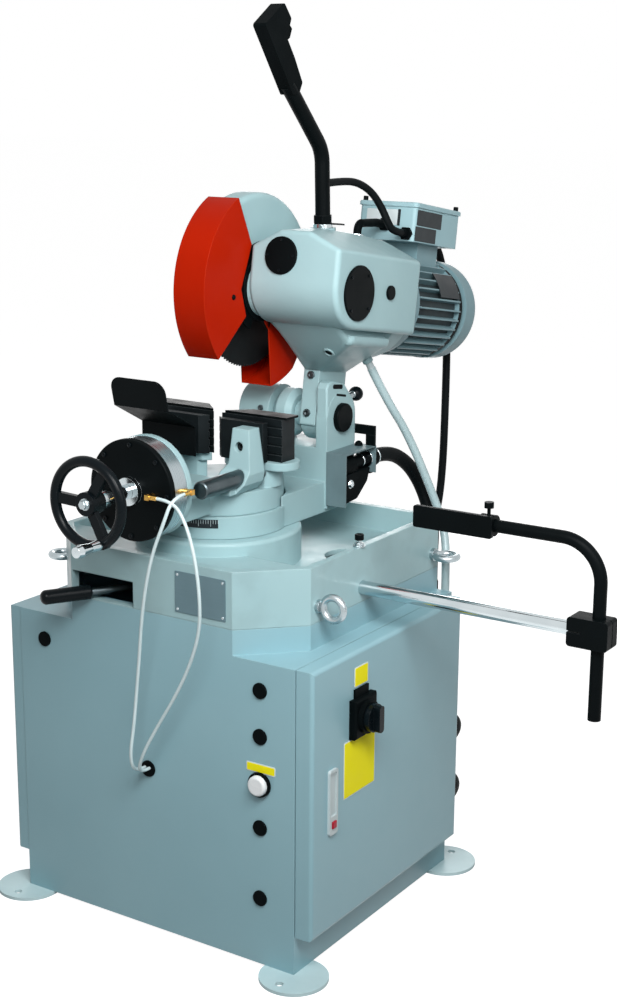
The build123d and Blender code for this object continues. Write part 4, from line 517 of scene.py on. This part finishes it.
# A cord: a NURBS line of order 3 with the route's points as its control points, and a round section.
def routeCurve(name, points, radius=0.0):
    curve = bpy.data.curves.new(name, "CURVE")
    curve.dimensions = "3D"
    curve.resolution_u = 16
    spline = curve.splines.new("NURBS")
    spline.points.add(len(points) - 1)
    spline.points.foreach_set("co", np.hstack([np.array(points), np.ones((len(points), 1))]).ravel())
    spline.order_u = 3
    spline.use_endpoint_u = True
    curve.bevel_depth = radius
    curve.bevel_resolution = 5
    curve.use_fill_caps = True
    cord = bpy.data.objects.new(name, curve)
    bpy.context.scene.collection.objects.link(cord)
    return cord


# The spline's own line, read from the curve without its bevel.
def routeLine(name, points):
    guide = routeCurve(name + "_line", points)
    line = bpy.data.meshes.new_from_object(guide)
    path = np.zeros(len(line.vertices) * 3)
    line.vertices.foreach_get("co", path)
    bpy.data.objects.remove(guide)
    bpy.data.meshes.remove(line)
    return path.reshape(-1, 3)


airHoses = {
    "radius": 0.003,
    "right": {"length": 0.629, "points": [
        (0.0665, -0.325, 0.828), (0.1005, -0.325, 0.828), (0.130, -0.332, 0.800), (0.150, -0.334, 0.748),
        (0.160, -0.334, 0.680), (0.152, -0.324, 0.615), (0.126, -0.316, 0.550), (0.088, -0.310, 0.482),
        (0.046, -0.310, 0.416), (0.014, -0.314, 0.356), (-0.003, -0.3025, 0.316), (-0.003, -0.2715, 0.316)]},
    "left": {"length": 0.5927, "points": [
        (0.100, -0.2945, 0.834), (0.100, -0.3265, 0.834), (0.090, -0.3395, 0.790), (0.068, -0.340, 0.740),
        (0.048, -0.336, 0.676), (0.030, -0.326, 0.610), (0.016, -0.316, 0.545), (0.002, -0.308, 0.476),
        (-0.006, -0.308, 0.408), (-0.010, -0.316, 0.352), (-0.013, -0.3005, 0.316),
        (-0.013, -0.2715, 0.316)]},
}
for side in ("right", "left"):
    route = airHoses[side]
    hose = routeCurve("air_hose_" + side, route["points"], airHoses["radius"])
    hose.data.materials.append(finishes["milkHose"])
    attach(hose, "base")
    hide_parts("air_hoses")

handleCable = {"radius": 0.007, "length": 0.2452, "points": [
    headPoint(0.110, -0.1020, 0.4180), headPoint(0.110, -0.0608, 0.4260), headPoint(0.116, -0.014, 0.431),
    headPoint(0.127, 0.024, 0.418), headPoint(0.140, 0.045, 0.390), headPoint(0.150, 0.052, 0.367),
    headPoint(0.156, 0.063, 0.351), headPoint(0.156, 0.097, 0.351)]}
cable = routeCurve("switch_cable", handleCable["points"], handleCable["radius"])
cable.data.materials.append(finishes["blackRubber"])
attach(cable, "head")
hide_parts("handle_cable")

# Tubes that run between two bodies: the line runs from the first body to the second.
bendingTubes = {
    "motor_cable_upper": {
        "finish": "blackRubber", "radius": 0.008, "length": 0.4517, "bodies": ("head", "swivel"), "points": [
            headPoint(0.080, 0.309, 0.359), headPoint(0.080, 0.358, 0.359), (0.083, 0.596, 1.150),
            (0.090, 0.602, 1.085), (0.102, 0.594, 0.985), (0.1082, 0.5834, 0.890), (0.110, 0.578, 0.800)]},
    "motor_cable_lower": {
        "finish": "blackRubber", "radius": 0.008, "length": 0.4946, "bodies": ("swivel", "base"), "points": [
            (0.110, 0.578, 0.800), (0.112, 0.572, 0.700), (0.110, 0.548, 0.610), (0.106, 0.484, 0.540),
            (0.106, 0.404, 0.506), (0.110, 0.345, 0.500), (0.110, 0.2815, 0.500)]},
    "coolant_hose_upper": {
        "finish": "coolantHose", "radius": 0.008, "length": 0.2331, "bodies": ("head", "swivel"), "points": [
            headPoint(0.143823, 0.055058, 0.094530), headPoint(0.161847, 0.088334, 0.040458),
            (0.188, 0.293, 0.846), (0.208, 0.316, 0.776)]},
    "coolant_hose_lower": {
        "finish": "coolantHose", "radius": 0.008, "length": 0.2639, "bodies": ("swivel", "base"), "points": [
            (0.208, 0.316, 0.776), (0.228, 0.339, 0.706), (0.258, 0.322, 0.652), (0.276, 0.2935, 0.592),
            (0.276, 0.2935, 0.534)]},
    "conduit": {
        "finish": "blackRubber", "radius": 0.014, "length": 0.3619, "bodies": ("swivel", "base"), "points": [
            (0.1445, 0.230, 0.810), (0.1445, 0.290, 0.810), (0.1625, 0.340, 0.779), (0.1855, 0.362, 0.725),
            (0.2125, 0.352, 0.662), (0.224, 0.3275, 0.608), (0.224, 0.3275, 0.554)]},
}
for node, tube in bendingTubes.items():
    path = routeLine(node, tube["points"])
    piece = addPiece(node + "_tube", [swept(path, circle(tube["radius"]), right)], None, tube["finish"])
    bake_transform(piece)
    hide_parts(node)
print("cords:", 3 + len(bendingTubes))  # two air hoses, the switch cable and the bending tubes

# Screws and bolts
coverScrews = {"radius": 0.0026, "height": 0.0018, "front": (0.104, -0.2222, 0.280), "frontRing": 0.0265,
               "side": (0.2262, -0.144, 0.2275), "sideRing": 0.0405, "sideTurn": 38.0}
front, side = headPoint(*coverScrews["front"]), headPoint(*coverScrews["side"])
spots = []
for k in range(4):
    a = math.pi / 2 * k
    spots.append((front + headDirection(math.sin(a), 0, math.cos(a)) * coverScrews["frontRing"], headAhead))
    a = a + math.radians(coverScrews["sideTurn"])
    spots.append((side + headDirection(0, math.sin(a), math.cos(a)) * coverScrews["sideRing"], right))
addTurned("cover_screws", capScrew(coverScrews["radius"], coverScrews["height"]), spots, "head", "blackGloss")

lidScrews = {"radius": 0.0048, "height": 0.0085, "lidTop": 0.410, "spots": ((0.055, 0.124), (0.165, 0.284))}
spots = [(headPoint(x, back, lidScrews["lidTop"]), headUp) for x, back in lidScrews["spots"]]
addTurned("lid_screws", capScrew(lidScrews["radius"], lidScrews["height"]), spots, "head", "blackPaint")

cylinderScrews = {"radius": 0.0042, "height": 0.0026, "ring": 0.0785, "count": 8}
spots = []
for k in range(cylinderScrews["count"]):
    a = 2 * math.pi * k / cylinderScrews["count"]
    spots.append(((cylinderScrews["ring"] * math.sin(a), viseAxis["coverFront"],
                   viseAxis["z"] + cylinderScrews["ring"] * math.cos(a)), ahead))
addTurned("cylinder_screws", capScrew(cylinderScrews["radius"], cylinderScrews["height"]), spots,
          "base", "blackGloss")

wheelNut = {"radius": 0.0078, "height": 0.008, "y": -0.4281}
addTurned("wheel_nut", hexBolt(wheelNut["radius"], wheelNut["height"]),
          [((0, wheelNut["y"], viseAxis["z"]), ahead)], "handwheel", "zinc")

# Lock screw of the stop rod: a nut with the stem through it, and the head that the stem runs up into
rodScrew = {"place": (0.265, -0.008, 0.7062), "nutRadius": 0.0085, "nutHeight": 0.007, "washer": 1.3,
            "stem": 0.012, "stemRadius": 0.004, "stemInHead": 0.004,
            "headRadius": 0.0082, "headHeight": 0.010}
spot = np.array(rodScrew["place"])
nut = hexBolt(rodScrew["nutRadius"], rodScrew["nutHeight"], rodScrew["washer"])
stemTop = rodScrew["stem"] + rodScrew["stemInHead"]
stem = [(0, 0, 0), (rodScrew["stemRadius"], 0, 0), (rodScrew["stemRadius"], stemTop, 0), (0, stemTop, 0)]
addPiece("rod_screw_nut", [turned(nut, spot, up), turned(stem, spot, up)], "base", "zinc")
addTurned("rod_screw_head", capScrew(rodScrew["headRadius"], rodScrew["headHeight"]),
          [(spot + up * rodScrew["stem"], up)], "base", "blackPaint")

# Front of the neck: a smooth slope from the housing's underside down to the hinge arm, with a port in it
# whose hole is a black disc of painted shade.
neckFront = {"levels": [  # rise, left, right, front, back, corner
    (0.1645, 0.044, 0.193, -0.157, 0.014, 0.012), (0.150, 0.050, 0.198, -0.139, 0.014, 0.014),
    (0.140, 0.053, 0.200, -0.1268, 0.014, 0.014), (0.128, 0.057, 0.183, -0.112, 0.016, 0.012),
    (0.084, 0.060, 0.0985, -0.050, 0.0455, 0.008)],
    "port": (0.145, -0.1001, 0.1195), "slope": (0.0, -0.5787, -0.8155), "portRadius": 0.0075,
    "portShadeDome": 0.0006, "rim": 0.0115, "rimHeight": 0.0022, "rimSlope": 0.001}
addPiece("neck_front", [headSections(neckFront["levels"])], "head", "castPaint")
port = [(headPoint(*neckFront["port"]), headDirection(*neckFront["slope"]))]
hole, rim, height = neckFront["portRadius"], neckFront["rim"], neckFront["rimHeight"]
profile = [(hole, 0, 0), (hole, height, 0), (rim - neckFront["rimSlope"], height, 0),
           (rim, 0, 0), (hole, 0, 0)]
addTurned("neck_port_rim", profile, port, "head", "castPaint")
# Black near-flat dome in the port: painted shade in place of the hole
addTurned("neck_port", domeHead(hole, neckFront["portShadeDome"]), port, "head", "blackPaint")

armBolts = {"radius": 0.0072, "height": 0.0035, "front": -0.046,
            "spots": ((0.0776, 0.0737), (0.0758, 0.0032))}
spots = [(headPoint(x, armBolts["front"], rise), headAhead) for x, rise in armBolts["spots"]]
addTurned("arm_bolts", capScrew(armBolts["radius"], armBolts["height"]), spots, "head", "darkSteel")

roofNut = {"place": (0.113, 0.010, 0.3325), "radius": 0.0115, "height": 0.006, "washer": 1.15}
addTurned("roof_nut", hexBolt(roofNut["radius"], roofNut["height"], roofNut["washer"]),
          [(headPoint(*roofNut["place"]), headUp)], "head", "chrome")

guardBolt = {"place": (0.0331, -0.0605, 1.1323), "radius": 0.005, "height": 0.003}
addTurned("guard_bolt", domeHead(guardBolt["radius"], guardBolt["height"]), [(guardBolt["place"], right)],
          "front_guard", "blackPaint")

# Oval caps low on the cabinet's back, over the round plugs. Each is half an ellipsoid: half its width times
# cos lift cos turn, its depth times sin lift and half its height times cos lift sin turn, on a flat foot.
rearCaps = {"x": 0.2805, "heights": (0.150, 0.274), "back": 0.2676, "half": (0.0382, 0.0344), "depth": 0.069,
            "rows": 13, "columns": 40}
lift, turn = np.meshgrid(np.linspace(math.pi / 2, 0.0, rearCaps["rows"]),
                         np.linspace(0.0, 2 * math.pi, rearCaps["columns"], endpoint=False), indexing="ij")
grids = []
for z in rearCaps["heights"]:
    dome = np.stack([rearCaps["x"] + rearCaps["half"][0] * np.cos(lift) * np.cos(turn),
                     rearCaps["back"] + rearCaps["depth"] * np.sin(lift),
                     z + rearCaps["half"][1] * np.cos(lift) * np.sin(turn)], axis=-1)
    foot = np.broadcast_to((rearCaps["x"], rearCaps["back"], z), (1, rearCaps["columns"], 3))
    grids.append(np.concatenate([dome, foot]))
addPiece("rear_caps", grids, "base", "blackPlastic")

# Plate that closes the rear of the lower guard, and the lock tab under the handle's nut
chuteBack = {"middle": (0.0, -0.0337, 0.0988), "size": (0.0622, 0.0395), "slope": (0.0, 0.488, 0.873),
             "corner": 0.001, "thick": 0.0015}
grid = roundPlate(chuteBack["size"], headPoint(*chuteBack["middle"]), right,
                  headDirection(*chuteBack["slope"]), chuteBack["corner"], chuteBack["thick"])
addPiece("chute_back", [grid], "chute_guard", "guardOrange")
handleTab = {"middle": (0.134, -0.101, 0.3455), "size": (0.034, 0.012), "corner": 0.003, "thick": 0.0025}
grid = roundPlate(handleTab["size"], headPoint(*handleTab["middle"]), right, headBehind,
                  handleTab["corner"], handleTab["thick"])
addPiece("handle_tab", [grid], "head", "blackPaint")

# Cheek on the right ear, its two slots drawn as thin black plates on its face that are painted shade, and the
# bolt in the left ear
earCheek = {"outline": [(0.1065, 0.895), (0.186, 0.895), (0.186, 0.936), (0.168, 0.956), (0.124, 0.967),
                        (0.113, 0.964), (0.1065, 0.955)], "left": 0.0984, "right": 0.1216, "edge": 0.0025}
addPiece("ear_cheek", [sideBlock(earCheek)], "swivel", "castPaint")
earSlotShades = {"thick": 0.0005, "edge": 0.0002, "cornerGap": 1e-5, "slots": [
    {"place": (0.1214, 0.143, 0.954), "size": (0.034, 0.0085), "along": (0.0, 0.99, -0.141)},
    {"place": (0.1218, 0.1546, 0.9365), "size": (0.034, 0.0045), "along": (0.0, 0.98, -0.2)}]}
grids = []
for slot in earSlotShades["slots"]:
    upward = np.cross(right, unit(slot["along"]))
    corner = slot["size"][1] / 2 - earSlotShades["cornerGap"]
    grids.append(roundPlate(slot["size"], slot["place"], slot["along"], upward, corner,
                            earSlotShades["thick"], earSlotShades["edge"]))
addPiece("ear_slot_shades", grids, "swivel", "blackPaint")

earBolt = {"place": (-0.0261, 0.1065, 0.9045), "axis": (0.0, -0.98, 0.2), "radius": 0.0055, "height": 0.003}
addTurned("ear_bolt", capScrew(earBolt["radius"], earBolt["height"]), [(earBolt["place"], earBolt["axis"])],
          "swivel", "darkSteel")

# Strap behind the column, a bar and a leg given by middle and size, and the plug on the bracket
backStrap = {"back": 0.2085, "thick": 0.0045, "corner": 0.0006,
             "bar": ((0.137, 0.866), (0.058, 0.018)), "leg": ((0.156, 0.847), (0.020, 0.0202))}
grids = []
for (x, z), size in (backStrap["bar"], backStrap["leg"]):
    grids.append(roundPlate(size, (x, backStrap["back"], z), right, up,
                            backStrap["corner"], backStrap["thick"]))
addPiece("back_strap", grids, "swivel", "blackPaint")

bracketPlug = {"place": (0.137, 0.194, 0.8372), "radius": 0.008, "height": 0.009}
addTurned("bracket_plug", domeHead(bracketPlug["radius"], bracketPlug["height"]),
          [(bracketPlug["place"], up)], "swivel", "blackPlastic")

# Valve under the bracket: a block that narrows downwards, a bright nut on its side and rings behind it
valveBody = {"outline": [(0.1125, 0.7958), (0.205, 0.7958), (0.196, 0.772), (0.160, 0.743), (0.1125, 0.739)],
             "left": 0.130, "right": 0.157, "edge": 0.0025}
addPiece("valve_body", [sideBlock(valveBody)], "swivel", "blackPlastic")
valveNut = {"place": (0.1568, 0.134, 0.776), "radius": 0.0065, "height": 0.005}
addTurned("valve_nut", hexBolt(valveNut["radius"], valveNut["height"]), [(valveNut["place"], right)],
          "swivel", "chrome")
valveRings = {"x": 0.1445, "z": 0.810, "bore": 0.010, "edge": 0.0004,  # rings: y, radius, width
              "rings": ((0.183, 0.0132, 0.0025), (0.2055, 0.0165, 0.005), (0.2312, 0.0182, 0.003))}
bore, edge = valveRings["bore"], valveRings["edge"]
grids = []
for y, radius, width in valveRings["rings"]:
    profile = [(bore, 0, 0), (radius - edge, 0, 0), (radius, edge, 0), (radius, width - edge, 0),
               (radius - edge, width, 0), (bore, width, 0), (bore, 0, 0)]
    grids.append(turned(profile, (valveRings["x"], y, valveRings["z"]), behind))
addPiece("valve_rings", grids, "swivel", "chrome")
print("screws placed")

# Bare plate with four rivets on the tray
trayPlate = {"size": (0.107, 0.073), "centre": (0.1105, -0.2677, 0.6535), "corner": 0.002, "thick": 0.0012,
             "rivet": 0.0026, "rivetHeight": 0.0012, "inset": 0.006}
centre = np.array(trayPlate["centre"])
grid = roundPlate(trayPlate["size"], centre, right, up, trayPlate["corner"], trayPlate["thick"])
addPiece("tray_plate", [grid], "base", "plateMetal")
stepX, stepZ = np.array(trayPlate["size"]) / 2 - trayPlate["inset"]
spots = []
for sx in (-1, 1):
    for sz in (-1, 1):
        spots.append((centre + ahead * trayPlate["thick"] + right * sx * stepX + up * sz * stepZ, ahead))
addTurned("tray_plate_rivets", domeHead(trayPlate["rivet"], trayPlate["rivetHeight"]), spots, "base", "zinc")

# Yellow plates, each on a white one that shows as its edge
yellowTrim = {"edge": 0.0002, "whiteCorner": 0.003, "whiteThick": 0.0006, "border": 0.0036, "lift": 0.0005,
              "yellowCorner": 0.002, "yellowThick": 0.0005}
yellowPlates = {
    "lamp_strip": {"size": (0.060, 0.017), "centre": (0.2355, -0.2677, 0.3705), "across": right,
                   "body": "base"},
    "switch_plate": {"size": (0.044, 0.036), "centre": (0.3387, -0.1160, 0.5145), "across": behind,
                     "body": "right_door"},
    "door_plate": {"size": (0.102, 0.104), "centre": (0.3387, -0.1185, 0.3540), "across": behind,
                   "body": "right_door"},
}
for name, plate in yellowPlates.items():
    size, centre, across = np.array(plate["size"]), np.array(plate["centre"]), plate["across"]
    white = roundPlate(size, centre, across, up, yellowTrim["whiteCorner"], yellowTrim["whiteThick"],
                       yellowTrim["edge"])
    addPiece(name + "_edge", [white], plate["body"], "plateWhite")
    lifted = centre + np.cross(across, up) * yellowTrim["lift"]
    yellow = roundPlate(size - yellowTrim["border"], lifted, across, up, yellowTrim["yellowCorner"],
                        yellowTrim["yellowThick"], yellowTrim["edge"])
    addPiece(name, [yellow], plate["body"], "plateYellow")

# Plates on the terminal box, and one bent round the motor
boxTrim = {"corner": 0.001, "thick": 0.0008, "edge": 0.0003}
boxPlates = {
    "box_front_plate": {"place": (0.099, 0.1169, 0.3805), "size": (0.068, 0.029), "across": right,
                        "finish": "plateWhite"},
    "box_front_strip": {"place": (0.136, 0.1169, 0.3805), "size": (0.006, 0.031), "across": right,
                        "finish": "plateDark"},
    "box_side_plate": {"place": (0.1721, 0.1705, 0.3825), "size": (0.095, 0.029), "across": headBehind,
                       "finish": "plateDark"},
    "box_lower_plate": {"place": (0.1721, 0.160, 0.3525), "size": (0.080, 0.027), "across": headBehind,
                        "finish": "plateDark"},
}
for name, plate in boxPlates.items():
    grid = roundPlate(plate["size"], headPoint(*plate["place"]), plate["across"], headUp,
                      boxTrim["corner"], boxTrim["thick"], boxTrim["edge"])
    addPiece(name, [grid], "head", plate["finish"])

motorPlate = {"radius": 0.0968, "from": 14.0, "to": 44.0, "steps": 13, "back": 0.226, "width": 0.076,
              "thick": 0.0012}
turn = np.radians(np.linspace(motorPlate["from"], motorPlate["to"], motorPlate["steps"]))
arc = np.stack([motorAxis["x"] + motorPlate["radius"] * np.cos(turn), 0 * turn + motorPlate["back"],
                motorAxis["rise"] + motorPlate["radius"] * np.sin(turn)], axis=-1) @ headAxes + headPivot
addPiece("motor_plate", [swept(arc, strip(motorPlate["width"], motorPlate["thick"]), headBehind)],
         "head", "plateDark")

# Angle scale round the turntable's ring: a dark strip with a tick every two degrees, a longer one every ten
angleScale = {"radius": 0.1243, "z": 0.7512, "height": 0.0152, "thick": 0.0008, "from": -124.0, "to": -54.0,
              "ticks": 36, "firstLong": 2, "longEvery": 5}
tickMark = {"width": 0.0007, "thick": 0.0003, "corner": 0.0001, "edge": 0.00005, "fromTop": 0.0005,
            "long": 0.75, "short": 0.45}
turn = np.radians(np.linspace(angleScale["from"], angleScale["to"], angleScale["ticks"]))
arc = np.stack([angleScale["radius"] * np.cos(turn), turntable["y"] + angleScale["radius"] * np.sin(turn),
                0 * turn + angleScale["z"]], axis=-1)
addPiece("angle_scale", [swept(arc, strip(angleScale["height"], angleScale["thick"]), up)],
         "swivel", "plateDark")
grids = []
for k, (a, spot) in enumerate(zip(turn, arc)):
    out = np.array((math.cos(a), math.sin(a), 0.0))
    isLong = k % angleScale["longEvery"] == angleScale["firstLong"]
    length = angleScale["height"] * tickMark["long" if isLong else "short"]
    lift = angleScale["height"] / 2 - tickMark["fromTop"] - length / 2
    spot = spot + out * (angleScale["thick"] / 2) + up * lift
    grids.append(roundPlate((tickMark["width"], length), spot, np.cross(up, out), up,
                            tickMark["corner"], tickMark["thick"], tickMark["edge"]))
addPiece("angle_scale_ticks", grids, "swivel", "plateGrey")
print("plates placed")


# 1 for a ray that sees floor and surround as white: the largest of its camera, glossy and transmission flags.
def lightPathShare(tree):
    flags = addNode(tree, "ShaderNodeLightPath").outputs
    share = flags["Is Camera Ray"]
    for kind in ("Is Glossy Ray", "Is Transmission Ray"):
        share = addNode(tree, "ShaderNodeMath", {0: share, 1: flags[kind]}, operation="MAXIMUM").outputs[0]
    return share


# Stage: white floor and surround, soft lamps, and the camera at the photograph's angle
stage = {"floorHalf": 40.0, "floorLevel": -0.0005, "floorColour": (0.35, 0.35, 0.35, 1.0), "floorGlow": 0.955,
         "ambient": 0.12, "surround": (1.0, 1.0, 1.0, 1.0)}
mesh = bpy.data.meshes.new("floor")
h, z = stage["floorHalf"], stage["floorLevel"]
mesh.from_pydata([(-h, -h, z), (h, -h, z), (h, h, z), (-h, h, z)], [], [(0, 1, 2, 3)])
floorMat = bpy.data.materials.new("floorWhite")
floorMat.use_nodes = True
tree = floorMat.node_tree
tree.nodes.remove(tree.nodes["Principled BSDF"])
diffuse = addNode(tree, "ShaderNodeBsdfDiffuse", {"Color": stage["floorColour"]})
strength = times(tree, lightPathShare(tree), stage["floorGlow"])
glow = addNode(tree, "ShaderNodeEmission", {"Strength": strength})
both = addNode(tree, "ShaderNodeAddShader", {0: diffuse.outputs[0], 1: glow.outputs[0]})
tree.links.new(both.outputs[0], tree.nodes["Material Output"].inputs["Surface"])
mesh.materials.append(floorMat)
floor = bpy.data.objects.new("floor", mesh)
bpy.context.scene.collection.objects.link(floor)

world = bpy.data.worlds.new("surround")
bpy.context.scene.world = world
world.use_nodes = True
tree = world.node_tree
strength = spread(tree, lightPathShare(tree), stage["ambient"], 1.0, 0.0, 1.0)
sky = tree.nodes["Background"]
sky.inputs["Color"].default_value = stage["surround"]
tree.links.new(strength, sky.inputs["Strength"])

lampAim = np.array((0.05, 0.0, 1.1))
lamps = {
    "key": {"place": (1.3, -1.1, 2.1), "size": 0.9, "power": 32.0},
    "front": {"place": (0.7, -1.4, 1.75), "size": 0.8, "power": 15.5},
    "side": {"place": (1.6, -0.6, 1.45), "size": 0.9, "power": 6.0},
    "rear": {"place": (-1.4, 2.6, 0.9), "size": 1.8, "power": 31.0},
}
for name, lamp in lamps.items():
    light = bpy.data.lights.new(name, "AREA")
    light.shape = "DISK"
    light.size = lamp["size"]
    light.energy = lamp["power"]
    ob = bpy.data.objects.new(name, light)
    axes = np.stack(squareTo(np.array(lamp["place"]) - lampAim), axis=1)
    ob.matrix_world = Matrix.Translation(lamp["place"]) @ Matrix(axes.tolist()).to_4x4()
    ob.visible_camera = False
    bpy.context.scene.collection.objects.link(ob)

camera = {"place": (1.7259, -2.3945, 1.4798), "turn": 33.31, "pitch": 76.13, "roll": 0.36, "lens": 59.369,
          "sensor": 36.0}
lens = bpy.data.cameras.new("camera")
lens.sensor_width = camera["sensor"]
lens.lens = camera["lens"]
eye = bpy.data.objects.new("camera", lens)
eye.matrix_world = (Matrix.Translation(camera["place"])
                    @ Matrix.Rotation(math.radians(camera["turn"]), 4, "Z")
                    @ Matrix.Rotation(math.radians(camera["pitch"]), 4, "X")
                    @ Matrix.Rotation(math.radians(camera["roll"]), 4, "Z"))
bpy.context.scene.collection.objects.link(eye)
bpy.context.scene.camera = eye
bpy.context.scene.view_settings.view_transform = "Standard"
print("stage set")
